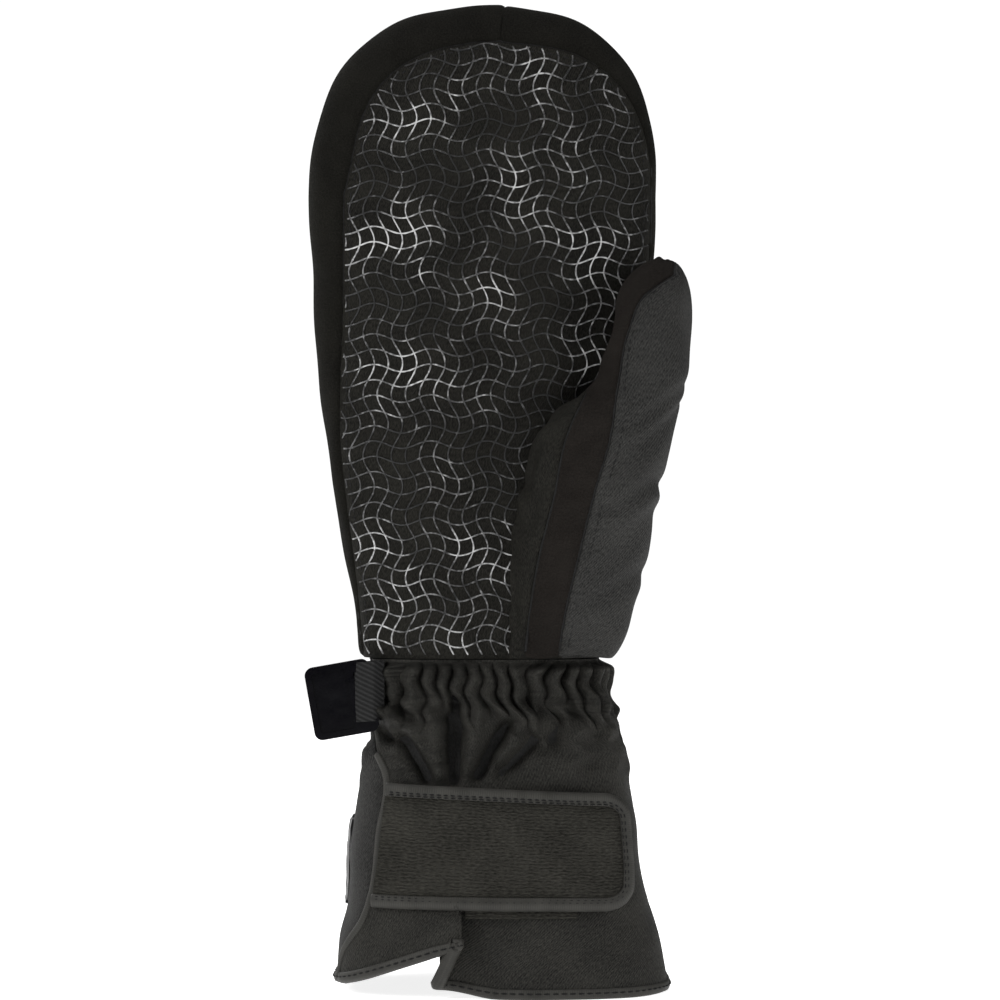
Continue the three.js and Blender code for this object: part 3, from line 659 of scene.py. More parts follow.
MATT = {"Specular_IOR_Level": 0.06}
DULL = {"Specular_IOR_Level": 0.12}
FINISHES = {
    "palm": (twill("palm_cloth", 0.003, 0.019, 0.7, 0.62, warm=0.045, depth=0.05, **MATT), "palm_fabric"),
    "softshell": (brushed("softshell", 0.003, 0.019, 0.95, warm=0.05, **MATT), "softshell"),
    "suede": (brushed("suede", 0.006, 0.023, 0.95, warm=0.035, red=0.13, **MATT), "suede"),
    "twill": (twill("shell_twill", 0.008, 0.038, 0.7, 0.8, warm=0.015, **DULL), "shell_twill"),
    "cuff": (twill("cuff_twill", 0.006, 0.035, 0.7, 0.8, warm=0.035, **DULL), "shell_twill"),
    "membrane": (film(), "membrane"),
    "wadding": (brushed("wadding", 0.55, 0.75, 1.0, warm=0.02, fibre=0.5), "wadding"),
    "fleece": (brushed("fleece", 0.012, 0.035, 1.0, warm=0.01, fibre=0.45, **MATT), "fleece"),
    "lining": (twill("cuff_lining", 0.008, 0.022, 0.6, 0.4, warm=0.01, depth=0.03, **DULL), "cuff_lining"),
    "elastic": (ribbed("elastic", 0.004, 0.015, 0.9, 0.9, **MATT), "elastic"),
    "binding": (coated_tape("binding", 0.024, 0.045, 0.55), "binding"),
    "loop": (knit("loop_fabric", 0.01, 0.05, 0.95, 1.05, **MATT), "loop_fabric"),
    "hook": (hooks(), "hook_tape"),
    "webbing": (ribbed("webbing", 0.006, 0.03, 0.8, 1.3, turn=math.radians(28), **DULL), "webbing"),
    "badge": (badge_cloth(), "badge"),
    "label": (ribbed("label", 0.5, 0.66, 0.6, 0.35, depth=0.04), "label"),
    "silicone": (silicone(), "grip_silicone"),
    "thread": (thread(), "thread"),
}

# ---- hand form


def hand_rise(z):
    """0 at the wrist, 1 where the fingers' dome begins."""
    return np.sin(math.pi / 2 * np.clip((z - WRIST_Z) / (SHOULDER_Z - WRIST_Z), 0, 1))


def hand_half(z):
    return mix(WRIST_HALF, PALM_HALF, hand_rise(z))


def dome_share(z):
    return np.clip((z - SHOULDER_Z) / FINGER_DOME, 0, None)


def plan_share(x, z):
    """0 on the middle line of the hand and 1 on its outline, seen from the palm."""
    t = dome_share(z)
    a = np.abs(x - DOME_LEAN * t) / hand_half(z)
    return (a**PLAN_POWER + t**PLAN_POWER) ** (1 / PLAN_POWER)


def face_depth(share, power):
    """Depth of a face, 1 in its middle and 0 at its outline."""
    return np.clip(1 - np.clip(share, 0, 1) ** power, 0, 1) ** (1 / power)


def palm_depth(x, z):
    return mix(WRIST_FRONT, PALM_FRONT, hand_rise(z)) * face_depth(plan_share(x, z), FRONT_POWER)


def back_depth(x, z):
    return mix(WRIST_BACK, PALM_BACK, hand_rise(z)) * face_depth(plan_share(x, z), BACK_POWER)


def outline_reach(angle):
    """Distance from the dome's middle to the outline, at an angle from the side, in degrees."""
    turn = np.radians(angle)
    return round_radius(turn, PLAN_POWER) * np.hypot(PALM_HALF * np.cos(turn), FINGER_DOME * np.sin(turn))


def palm_border(side, z, angle):
    """Width of side wall seen outside the palm's seam."""
    if side < 0:
        straight = keyed(z, [102, 127, 147, 169, 188, 207, 232, 245], [1, 3, 3.7, 4.6, 7, 9.5, 11, 11.4])
        over = keyed(angle, [0, 10, 30, 55, 75, 90, 100], [11.4, 13, 14, 14.4, 14, 13, 13])
    else:
        straight = keyed(z, [102, 150, 245], [1, 1.6, 1.8])
        over = keyed(angle, [0, 10, 30, 50, 70, 90], [1.8, 2, 5, 9.6, 13, 13])
    return np.where(angle > 0, over, straight)


def plan_angle(x, z):
    """Degrees round the dome from the nearer side, 0 below it."""
    t = dome_share(z)
    a = np.abs(x - DOME_LEAN * t) / PALM_HALF
    return np.degrees(np.arctan2(t, np.maximum(a, 1e-6)))


def palm_gap(x, z):
    """Distance inside the palm panel's seam."""
    angle = plan_angle(x, z)
    share = plan_share(x, z)
    reach = np.where(angle > 0, outline_reach(angle), hand_half(z))
    gaps = [reach * (1 - share) - palm_border(side, z, angle) for side in (-1, 1)]
    middle = DOME_LEAN * dome_share(z)
    return np.where(x < middle, gaps[0], gaps[1])


def palm_relief(x, z):
    """How far the padded palm stands out from its smooth form."""
    ridge = 1.5 * bump_at(x, keyed(z, [110, 160, 215, 270], [-14, -17, -13, -18]), 15)
    right = 1.2 * bump_at(x, keyed(z, [110, 180, 240, 285], [14, 20, 22, 12]), 14)
    soft = 0.55 * ripples(x, z * 0.8, 38, 3) + 0.28 * ripples(x, z, 17, 5)
    low = np.clip((150 - z) / 50, 0, 1)
    creases = 0.45 * low * ripples(x * 1.6, z, 15, 8)
    return np.maximum(ridge + right + soft + creases - 0.6, -1.0)


def on_palm(x, z, lift=0.0):
    """(points, normals) on the palm cloth at local x and z."""
    x, z = np.broadcast_arrays(np.asarray(x, float), np.asarray(z, float))
    step = 0.4

    def height(a, b):
        gap = palm_gap(a, b)
        low = 1.2 * np.exp(-np.clip(b - WRIST_Z, 0, None) / 3)
        pucker = 0.35 * np.sin(b * 0.85 + 3 * ripples(a, b, 30, 2)) * np.exp(-np.clip(gap, 0, None) / 3.5)
        return palm_depth(a, b) + palm_relief(a, b) * ease(gap / 16) + tuck(gap) - low + pucker * ease(gap)

    h = height(x, z)
    slope_x = (height(x + step, z) - height(x - step, z)) / (2 * step)
    slope_z = (height(x, z + step) - height(x, z - step)) / (2 * step)
    n = unit(stack(-slope_x, -np.ones_like(h), -slope_z))
    points = stack(x, -h, z) + ORIGIN
    return points + n * lift, n


def seam_point(side, z, angle, inset=0.0):
    """Plan place of the palm's seam: on the straight part at z, or round the dome at angle."""
    border = palm_border(side, z, angle) + inset
    reach = np.where(angle > 0, outline_reach(angle), hand_half(z))
    return plan_place(side, z, angle, 1 - border / reach)


def plan_place(side, z, angle, share):
    turn = np.radians(angle)
    r = round_radius(turn, PLAN_POWER)
    over = angle > 0
    t = np.where(over, share * r * np.sin(turn), 0)
    half = np.where(over, PALM_HALF * r * np.cos(turn), hand_half(z))
    x = DOME_LEAN * t + side * share * half
    return x, np.where(over, SHOULDER_Z + FINGER_DOME * t, z)


SIDE_LENGTH = SHOULDER_Z - WRIST_Z


def up_the_side(length):
    """(z, angle) at a length from the wrist up the side and round the dome."""
    z = np.minimum(WRIST_Z + length, SHOULDER_Z)
    return z, np.clip(length - SIDE_LENGTH, 0, None) / FINGER_DOME * (180 / math.pi)


QUARTER = FINGER_DOME * math.pi / 2


def between(left, right, columns):
    """Grids of x and z from the left seam to the right one, each given as (x, z)."""
    u = closer_at_ends(columns)
    return [mix(a[:, None], b[:, None], u) for a, b in zip(left, right)]


def build_palm():
    length = np.linspace(0, SIDE_LENGTH + QUARTER * 0.995, 210)
    z, angle = up_the_side(length)
    x, up = between(seam_point(-1, z, angle), seam_point(1, z, angle), 150)
    points, normals = on_palm(x, up)
    return cloth("palm_panel", points, "palm", SHELL, normals=normals)


# ---- grip print

GRIP_COLUMN = 4.35
GRIP_ROW = 4.7
GRIP_WAVE, GRIP_ROW_WAVE = 1.75, 1.15
GRIP_WIDTH = 0.5
GRIP_HEIGHT = 0.3
GRIP_MARGIN = 0.7


def grip_runs(x, z):
    """The stretches of one printed line that lie on the palm panel."""
    inside = palm_gap(x, z) > GRIP_MARGIN
    inside &= (z > WRIST_Z + 1.2) & (z < TIP_Z - 12)
    edges = np.flatnonzero(np.diff(np.concatenate([[0], inside.astype(int), [0]])))
    for a, b in zip(edges[::2], edges[1::2]):
        if b - a > 4:
            yield x[a:b], z[a:b]


def build_grip():
    """The printed grid of wavy silicone lines, each a low flat bead."""
    step = 0.7
    z = np.arange(WRIST_Z, TIP_Z, step)
    x = np.arange(-PALM_HALF, PALM_HALF, step)
    lines = []
    for k in range(-13, 14):
        lines.append((k * GRIP_COLUMN + GRIP_WAVE * np.sin(TAU * z / (4 * GRIP_ROW)), z))
    rows = int((TIP_Z - WRIST_Z) / GRIP_ROW) + 2
    for k in range(-1, rows):
        lines.append((x, WRIST_Z + k * GRIP_ROW + GRIP_ROW_WAVE * np.sin(TAU * x / (4 * GRIP_COLUMN) + 1)))
    w, h = GRIP_WIDTH / 2, GRIP_HEIGHT
    parts = []
    for line_x, line_z in lines:
        for a, b in grip_runs(line_x, line_z):
            path, normals = on_palm(a, b)
            spread = 1 + 0.18 * np.sin(a * 2.1 + b * 1.3)
            profile = np.array([(-w, -0.1), (-w * 0.72, h * 0.8), (0, h), (w * 0.72, h * 0.8), (w, -0.1)])
            profile = profile[None] * np.stack([spread, np.ones_like(spread)], axis=1)[:, None]
            points, sides, _ = sweep(path, normals, profile)
            parts.append((points, sides))
    return new_piece("grip_lines", *joined(parts), "silicone")


# ---- side walls and back

BACK_BORDER = 6


def wall_rows(side, count):
    end = JOIN_ANGLE if side > 0 else 180 - JOIN_ANGLE
    length = np.linspace(0, SIDE_LENGTH + FINGER_DOME * math.radians(end), count)
    return length, *up_the_side(length)


def build_wall(side, name):
    """A strip from the palm's seam over the outline to the back's seam, from wrist to fingertips."""
    length, z, angle = wall_rows(side, 230)
    reach = np.where(angle > 0, outline_reach(angle), hand_half(z))
    share_front = 1 - palm_border(side, z, angle) / reach
    share_back = 1 - BACK_BORDER / reach
    turn_front = np.arctan2(face_depth(share_front, FRONT_POWER), share_front)
    turn_back = np.arctan2(face_depth(share_back, BACK_POWER), share_back)
    turn = mix(turn_front[:, None], -turn_back[:, None], np.linspace(0, 1, 44))
    c, s = np.abs(np.cos(turn)), np.abs(np.sin(turn))
    r = round_radius(turn, np.where(turn > 0, FRONT_POWER, BACK_POWER))
    x, up = plan_place(side, z[:, None], angle[:, None], r * c)
    rise = hand_rise(z)[:, None]
    depth = np.where(turn > 0, mix(WRIST_FRONT, PALM_FRONT, rise), mix(WRIST_BACK, PALM_BACK, rise))
    grid = stack(x, -np.sign(turn) * depth * r * s, up) + ORIGIN
    n = surface_normals(grid, (0, 0))
    run = runs_across(grid)
    gap = np.minimum(run, run[:, -1:] - run)
    end_gap = (length[-1] - length)[:, None]
    width = run[:, -1:]
    along_it = length[:, None]
    lift = tuck(gap, np.minimum(SEAM_ROLL, width / 2)) + tuck(end_gap, 2.0, 0.5) + tuck(along_it, 3, 1.2)
    lift = lift + 0.5 * ease(gap / 6) * ripples(along_it, run, 32, 11)
    pucker = np.sin(along_it * 0.9 + 2 * ripples(along_it, run, 30, 4))
    lift = lift + 0.22 * np.exp(-gap / 3) * ease(gap) * pucker
    return cloth(name, grid + n * lift[..., None], "softshell", SHELL)


def build_back():
    """The padded back of the hand, with the stitch row along both of its seams."""
    length = np.linspace(0, SIDE_LENGTH + QUARTER * 0.995, 170)
    z, angle = up_the_side(length)
    reach = np.where(angle > 0, outline_reach(angle), hand_half(z))
    share = 1 - BACK_BORDER / reach
    x, up = between(plan_place(-1, z, angle, share), plan_place(1, z, angle, share), 120)
    grid = stack(x, back_depth(x, up), up) + ORIGIN
    n = surface_normals(grid, (0, 0))
    gap = np.maximum(outline_reach(plan_angle(x, up)) * (1 - plan_share(x, up)) - BACK_BORDER, 0)
    lift = tuck(gap) + ease(gap / 16) * (0.7 * ripples(x, up, 45, 21) + 0.35 * ripples(x, up, 20, 22) + 0.6)
    lift = lift + tuck((up - WRIST_Z), 3, 1.2)
    low = np.clip((135 - up) / 33, 0, 1)
    lift = lift + low * 0.8 * np.sin(x * 0.8 + 2 * ripples(x, up, 30, 24)) * ease((up - WRIST_Z) / 3)
    grid = grid + n * lift[..., None]
    rows = [(grid[:, k] + n[:, k] * 0.1, n[:, k]) for k in (7, -8)]
    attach(stitches("back_seam_stitches", rows, pitch=2.6, length=1.9, radius=0.22), "hand")
    return cloth("back_panel", grid, "twill", SHELL)


# ---- thumb form

THUMB_Z = [102, 108, 120, 132, 144.6, 157, 169.3, 181.6, 194, 206, 209]
THUMB_RIGHT = [40.3, 42.7, 47, 50.1, 52.5, 55.3, 58.2, 61.3, 63.2, 63.9, 63.9]
THUMB_EDGE_Z = [102, 138, 154.7, 170.5, 179.6, 184.4, 194.7, 207, 209]
THUMB_LEFT = [8.2, 9.7, 12.5, 17.6, 24.5, 31.5, 37.2, 40.6, 41]
THUMB_DEPTH_Z = [102, 108, 120, 131, 157, 171, 182, 192, 209]
THUMB_FRONT = [20.9, 25.5, 31.5, 35, 41, 43, 44, 43.5, 41]
THUMB_BACK = [2, 2.4, 3.2, 4, 6, 7, 8, 9, 10]
THUMB_TOP = 224.5
THUMB_SHOULDER = 207
THUMB_TIP_X = 54.6
THUMB_POWER = 2.4
THUMB_DOME_POWER = 2.1
THUMB_CLEARANCE = 3.4
CROTCH_Z = 184.4
INNER_TOP_Z = 197
OUTER_SEAM_Z = [102, 112, 132.9, 154.1, 168.7, 186.9, 202, 214.1, 219.3]
OUTER_SEAM_X = [23.4, 24.6, 29.1, 34.3, 38.5, 40.9, 43.9, 50.7, 58.8]
INNER_SEAM_Z = [100.5, 109.3, 132.9, 151.1, 170.5, 184.4]
INNER_SEAM_X = [12.5, 13.4, 17, 21.5, 25.5, 31.5]


def thumb_section(z):
    """(middle x, half width, middle depth, half depth) of the thumb at a height."""
    low = np.minimum(z, THUMB_SHOULDER)
    right = keyed(low, THUMB_Z, THUMB_RIGHT)
    left = keyed(low, THUMB_EDGE_Z, THUMB_LEFT)
    front = keyed(low, THUMB_DEPTH_Z, THUMB_FRONT)
    back = keyed(low, THUMB_DEPTH_Z, THUMB_BACK)
    t = np.clip((z - THUMB_SHOULDER) / (THUMB_TOP - THUMB_SHOULDER), 0, 1)
    k = face_depth(t, THUMB_DOME_POWER)
    middle = mix((left + right) / 2, THUMB_TIP_X, t**1.5)
    return middle, (right - left) / 2 * k, (front + back) / 2, (front - back) / 2 * k


def thumb_turn(x, z):
    """Angle round the thumb, from its right side over its front, where the front is at x."""
    middle, half, _, _ = thumb_section(z)
    share = np.clip((x - middle) / np.maximum(half, 1e-3), -1, 1)
    return np.arctan2(face_depth(np.abs(share), THUMB_POWER), share)


def thumb_point(turn, z, lift=0.0):
    """(points, normals) on the thumb's smooth form, kept clear of the palm."""

    def place(a, b):
        middle, half, depth, reach = thumb_section(b)
        r = round_radius(a, THUMB_POWER)
        return stack(middle + half * r * np.cos(a), -(depth + reach * r * np.sin(a)), b)

    step = 0.01
    p = place(turn, z)
    dz = np.where(z > THUMB_TOP - 0.5, -0.3, 0.3)
    around = place(turn + step, z) - p
    upward = (place(turn, z + dz) - p) * np.sign(dz)[..., None]
    n = unit(np.cross(around, upward))
    outward = stack(np.cos(turn), -np.sin(turn), np.zeros_like(turn))
    n = np.where((n * outward).sum(-1, keepdims=True) < 0, -n, n)
    p = p + n * np.asarray(lift)[..., None]
    share = plan_share(p[..., 0], p[..., 2])
    clear = mix(0.3, THUMB_CLEARANCE, ease((np.sin(turn) + 0.7) / 1.2))
    x, y, z = (p[..., k] for k in range(3))
    palm = -palm_depth(x, z) - clear - palm_relief(x, z) * ease((1 - share) * 4)
    y = np.where(share < 1, np.minimum(y, palm), y)
    return stack(x, y, z) + ORIGIN, n


def thumb_heights(low, high, count):
    """Heights up the thumb, closer together over its dome."""
    v = np.linspace(0, 1, count)
    z = low + (high - low) * v
    dome = THUMB_TOP - THUMB_SHOULDER
    over = v > 0.72
    bent = THUMB_SHOULDER + dome * np.sin((v - 0.72) / 0.28 * math.pi / 2)
    straight = low + (THUMB_SHOULDER - low) * v / 0.72
    return np.where(over, bent, straight) if high > THUMB_SHOULDER else z


def thumb_relief(turn, z, seed):
    """Soft folds across a padded thumb, stronger where it bends."""
    bend = bump_at(z, 158, 30) + 0.5 * bump_at(z, 116, 14)
    folds = np.sin((z + 11 * turn) * 0.42 + 2.4 * ripples(turn * 14, z, 24, seed))
    return 0.6 * bend * folds + 0.6 * ripples(turn * 16, z, 24, seed + 1)


BACK_TURN = -math.pi / 2


def outer_turn(z):
    return thumb_turn(keyed(z, OUTER_SEAM_Z, OUTER_SEAM_X), z)


def inner_turn(z):
    front = thumb_turn(keyed(z, INNER_SEAM_Z, INNER_SEAM_X), z)
    over = math.pi + math.pi / 2 * ease((z - CROTCH_Z) / (INNER_TOP_Z - CROTCH_Z))
    return np.where(z < CROTCH_Z, front, over)


def thumb_panel(name, finish, z, start, end, columns, seed):
    turn = mix(start[:, None], end[:, None], np.linspace(0, 1, columns))
    up = np.broadcast_to(z[:, None], turn.shape)
    grid, _ = thumb_point(turn, up)
    run = runs_across(grid)
    gap = np.minimum(run, run[:, -1:] - run)
    roll = np.minimum(3.2, run[:, -1:] / 2 + 1e-3)
    lift = tuck(gap, roll, 1.1) + ease(gap / 7) * thumb_relief(turn, up, seed)
    lift = lift + tuck(up - WRIST_Z, 3, 0.8)
    pucker = 0.3 * np.sin(up * 1.05 + 2 * ripples(turn * 10, up, 20, seed)) * np.exp(-gap / 3) * ease(gap)
    grid, normals = thumb_point(turn, up, lift + pucker)
    return cloth(name, grid, finish, SHELL * 0.9, normals=normals)


def build_thumb():
    z = thumb_heights(WRIST_Z + 0.3, THUMB_TOP - 0.05, 150)
    outer = outer_turn(z)
    back = np.full_like(z, BACK_TURN)
    yield thumb_panel("thumb_outer_panel", "twill", z, outer, back, 70, 31)
    inner = inner_turn(z)
    yield thumb_panel("thumb_gusset", "suede", z, inner, outer, 46, 33)
    low = np.linspace(WRIST_Z + 0.3, INNER_TOP_Z - 0.2, 110)
    back = np.full_like(low, BACK_TURN + TAU)
    yield thumb_panel("thumb_palm_panel", "palm", low, back, inner_turn(low), 40, 35)


# ---- inner layers


WHOLE_TURN = (0, TAU)


def hand_bag(name, finish, inset, thickness, turns, quilt, low=0.6, rows=60, columns=72):
    """A layer inside the hand over a range of turns, inset by (side, front, back), with sewn channels."""
    side, front, back = inset
    v = np.linspace(0, 1, rows)
    top = FINGER_DOME - side - 1
    straight = mix(WRIST_Z + low, SHOULDER_Z, v / 0.7)
    z = np.where(v < 0.7, straight, SHOULDER_Z + top * np.sin((v - 0.7) / 0.3 * 1.565))[:, None]
    turn = np.linspace(*turns, columns)[None]
    t = np.clip((z - SHOULDER_Z) / top, 0, 1)
    wide, deep = face_depth(t, PLAN_POWER), face_depth(t, 2.2)
    power = np.where(np.sin(turn) > 0, FRONT_POWER, BACK_POWER)
    c, s = np.cos(turn), np.sin(turn)
    r = round_radius(turn, power)
    rise = hand_rise(z)
    front_depth = mix(WRIST_FRONT, PALM_FRONT, rise) - front
    depth = np.where(s > 0, front_depth, mix(WRIST_BACK, PALM_BACK, rise) - back)
    x = DOME_LEAN * t + (hand_half(z) - side) * wide * r * c
    grid = stack(x, -depth * deep * r * s, z + 0 * turn) + ORIGIN
    n = surface_normals(grid, (0, 0))
    puff = -quilt * np.abs(np.cos(math.pi * (z - WRIST_Z) / 34)) ** 6 + 0.2 * ripples(turn * 30, z, 22, 41)
    puff = puff * ease((1 - t) * 5)
    return cloth(name, grid + n * puff[..., None], finish, thickness, wrap=turns == WHOLE_TURN)


def thumb_bag(name, finish, inset, thickness, quilt):
    """A layer inside the thumb at an inset from its shell, with sewn channels."""
    v = np.linspace(0, 1, 46)
    top = THUMB_TOP - THUMB_SHOULDER - inset
    straight = mix(WRIST_Z + 16, THUMB_SHOULDER, v / 0.75)
    z = np.where(v < 0.75, straight, THUMB_SHOULDER + top * np.sin((v - 0.75) / 0.25 * 1.5))[:, None]
    turn = np.linspace(0, TAU, 41)[None]
    z, turn = np.broadcast_arrays(z, turn)
    middle, _, depth, _ = thumb_section(z)
    k = face_depth((z - THUMB_SHOULDER) / top, THUMB_DOME_POWER)
    _, half0, _, reach0 = thumb_section(np.minimum(z, THUMB_SHOULDER))
    half, reach = (half0 - inset) * k, (reach0 - inset) * k
    c, s = np.cos(turn), np.sin(turn)
    r = round_radius(turn, THUMB_POWER)
    x, y = middle + half * r * c, -(depth + reach * r * s)
    lift = -quilt * np.abs(np.cos(math.pi * (z - WRIST_Z) / 26)) ** 6
    palm = -palm_depth(x, z) - 1.5 - inset
    y = np.where(plan_share(x, z) < 1, np.minimum(y, palm), y)
    shell = face_depth(np.abs(x - middle) / half0, THUMB_POWER)
    y = np.maximum(y, -(depth + (reach0 - inset) * shell))
    grid = stack(x, y, z) + ORIGIN
    n = unit(stack(c, -s, 0 * c))
    return cloth(name, grid + n * lift[..., None], finish, thickness, wrap=True, normals=n)


def build_inner_layers():
    hand = [
        hand_bag("membrane_insert", "membrane", (3.4, 4.1, 2.6), 0.4, WHOLE_TURN, 0.0),
        hand_bag("palm_insulation", "wadding", (4.2, 4.8, 3.4), 1.6, (0.02, math.pi - 0.02), 0.9),
        hand_bag("back_insulation", "wadding", (3.4, 3.4, 3.4), 5.2, (math.pi + 0.02, TAU - 0.02), 1.6),
        hand_bag("hand_lining", "fleece", (9, 7.4, 9.8), 2.0, WHOLE_TURN, 0.3, rows=70, columns=97),
    ]
    for piece in hand:
        stand_for(piece, "hand")
    thumb = [
        thumb_bag("thumb_membrane", "membrane", 1.9, 0.3, 0.0),
        thumb_bag("thumb_insulation", "wadding", 2.6, 1.6, 0.4),
        thumb_bag("thumb_lining", "fleece", 4.6, 1.0, 0.2),
    ]
    for piece in thumb:
        bend_thumb(piece)
        stand_for(piece)


THUMB_BEND = (106, 150)  # heights given for the thumb's bend; bend_thumb only bakes each piece's transform and bends no cloth
THUMB_BEND_X, THUMB_BEND_Y = ORIGIN[0] + 35, ORIGIN[1] - 25
WRIST_BEND = (64, 92)


def bend_thumb(piece):
    start, end = ((THUMB_BEND_X * MM, THUMB_BEND_Y * MM, z * MM) for z in THUMB_BEND)
    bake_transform(piece)
    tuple(start)
    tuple(end)


def bend_wrist(piece):
    start, end = ((0, 0, z * MM) for z in WRIST_BEND)
    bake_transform(piece)
    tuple(start)
    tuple(end)


# ---- cuff form

CUFF_Z = WRIST_Z - 0.3
CUFF_EDGE_Z = [0, 2.4, 13.3, 25.8, 38.3, 50.8, 63.3, 75.8, 82, 88, 102]
CUFF_LEFT = [-45.3, -45.1, -44.6, -41.4, -41.1, -39.8, -37.8, -37.2, -37.4, -37.4, -37.6]
CUFF_RIGHT = [57, 56.7, 55.2, 51.8, 49, 48, 45.4, 43.6, 42.2, 38, 37.4]
SIDE_SEAM_Z = [0, 9.5, 18.6, 25.6, 44.4, 64.2, 76, 102]
SIDE_SEAM_X = [-44, -42.2, -36, -33.7, -31.6, -29.6, -34.5, -36]

PLEAT_OVER, PLEAT_UNDER = -4.8, -13.5  # the pleat's front and hidden folds at the hem
PLEAT_OUT, PLEAT_IN = 2.2, -3.0
PLEAT_SOFTNESS = 201  # of 4001 steps round the front
PLEAT_TOP = 0.46
HEM_RISE_X = [-45, -14, -4.8]
HEM_RISE = [2.4, 13.3, 15.6]
BACK_RISE = 7  # the lift of the hem behind the pleat

CLIP_ROOM = 2.4  # how far the cuff is drawn in beside the clip
CLIP_ROOM_X, CLIP_ROOM_WIDTH = -38, 6
CLIP_ROOM_LOW, CLIP_ROOM_HIGH = 72, 104
GATHER_PITCH = 5.3
GATHER_HEIGHT = 3.6
GATHER_LOW, GATHER_HIGH = 88, 101.5

# Valleys of the upper cuff: local x and z of both ends, depth and width
VALLEYS = [
    (-8.2, 92, -9.1, 62, 9.0, 2.4),
    (-25, 79, -16, 64, 6.0, 2.1),
    (9, 84, -3, 64, 5.0, 2.0),
    (18, 79, 4, 65, 3.8, 2.3),
    (-31, 90, -20, 83, 4.0, 1.7),
    (-36, 82, -26, 76, 4.2, 1.8),
    (27, 86, 20, 74, 2.8, 2.6),
    (36, 84, 33, 68, 1.6, 3.6),
]
RIDGES = [
    (-31, 86, -21, 79, 2.8, 2.6),
    (-15, 84, -13, 66, 2.8, 2.8),
    (0, 88, -4, 70, 2.6, 2.8),
    (14, 86, 4, 70, 2.2, 2.6),
    (28, 80, 26, 66, 1.2, 5.0),
]


def cuff_shape(z):
    """(middle x, half width, front depth, back depth) of the cuff's plain form."""
    left, right = keyed(z, CUFF_EDGE_Z, CUFF_LEFT), keyed(z, CUFF_EDGE_Z, CUFF_RIGHT)
    flare = np.clip((WAIST_Z - z) / WAIST_Z, 0, 1) ** FLARE_POWER
    front, back = (mix(depth, HEM_DEPTH, flare) for depth in (WRIST_FRONT, WRIST_BACK))
    return (left + right) / 2, (right - left) / 2, front, back


RING = np.linspace(0, math.pi, 401)


def half_ring(z, back):
    """Plan points of half a ring from its left end to its right, and their share of its length."""
    middle, half, front, rear = cuff_shape(z)
    r = round_radius(RING, BACK_POWER if back else FRONT_POWER)
    x = middle - half * r * np.cos(RING)
    y = (rear if back else -front) * r * np.sin(RING)
    run = run_of(np.stack([x, y], axis=1))
    return x, y, run / run[-1]


def share_at(z, x):
    """Share of the front half ring at a local x."""
    ring_x, _, share = half_ring(z, False)
    return np.interp(x, ring_x, share)


def pleat_course():
    """Share of the front ring, and displacement, over the cloth's own course from left to right."""
    over, under = share_at(0.0, PLEAT_OVER), share_at(0.0, PLEAT_UNDER)
    total = 1 + 2 * (over - under)
    first, second = over / total, (2 * over - under) / total
    course = np.linspace(0, 1, 4001)
    share = np.interp(course, [0, first, second, 1], [0, over, under, 1])
    out = np.interp(
        course,
        [0, first - 0.16, first - 0.03, first, second, second + 0.03, second + 0.17, 1],
        [0, PLEAT_OUT * 0.6, PLEAT_OUT, PLEAT_OUT, PLEAT_IN, PLEAT_IN, 0, 0],
    )
    window = np.hanning(PLEAT_SOFTNESS)
    window /= window.sum()

    def smooth(v):
        return np.convolve(np.pad(v, PLEAT_SOFTNESS // 2, mode="edge"), window, mode="valid")

    return course, smooth(share), smooth(out), first, second


COURSE, FOLDED_SHARE, FOLDED_OUT, FOLD_FIRST, FOLD_SECOND = pleat_course()


def hem_height(q):
    """How far the cloth's lower edge is lifted, over the whole course q from 0 to 1."""
    course = np.clip(q * 2, 0, 1)
    ring_x, _, ring_share = half_ring(0.0, False)
    x = np.interp(np.interp(course, COURSE, FOLDED_SHARE), ring_share, ring_x)
    rise = np.interp(x, HEM_RISE_X, HEM_RISE)
    back = mix(HEM_RISE[-1], 2.6, ease((course - FOLD_FIRST) / (FOLD_SECOND - FOLD_FIRST)))
    past = 2.6 * (1 - ease((course - FOLD_SECOND) / 0.12))
    lifted = np.where(course < FOLD_FIRST, rise, np.where(course < FOLD_SECOND, back, past))
    behind = HEM_RISE[0] * ease((q - 0.85) / 0.15) + BACK_RISE * bump_at(q, 0.84, 0.07)
    return np.where(q < 0.5, lifted, behind)


def segment_relief(x, z, lines):
    total = 0
    for x0, z0, x1, z1, depth, width in lines:
        length = math.hypot(x1 - x0, z1 - z0)
        ahead = ((x - x0) * (x1 - x0) + (z - z0) * (z1 - z0)) / length**2
        off = np.abs((x - x0) * (z1 - z0) - (z - z0) * (x1 - x0)) / length
        past = np.clip(np.abs(ahead - 0.5) - 0.35, 0, None) * length
        total = total + depth * np.exp(-((off / width) ** 2) - (past / (width * 1.3)) ** 2)
    return total


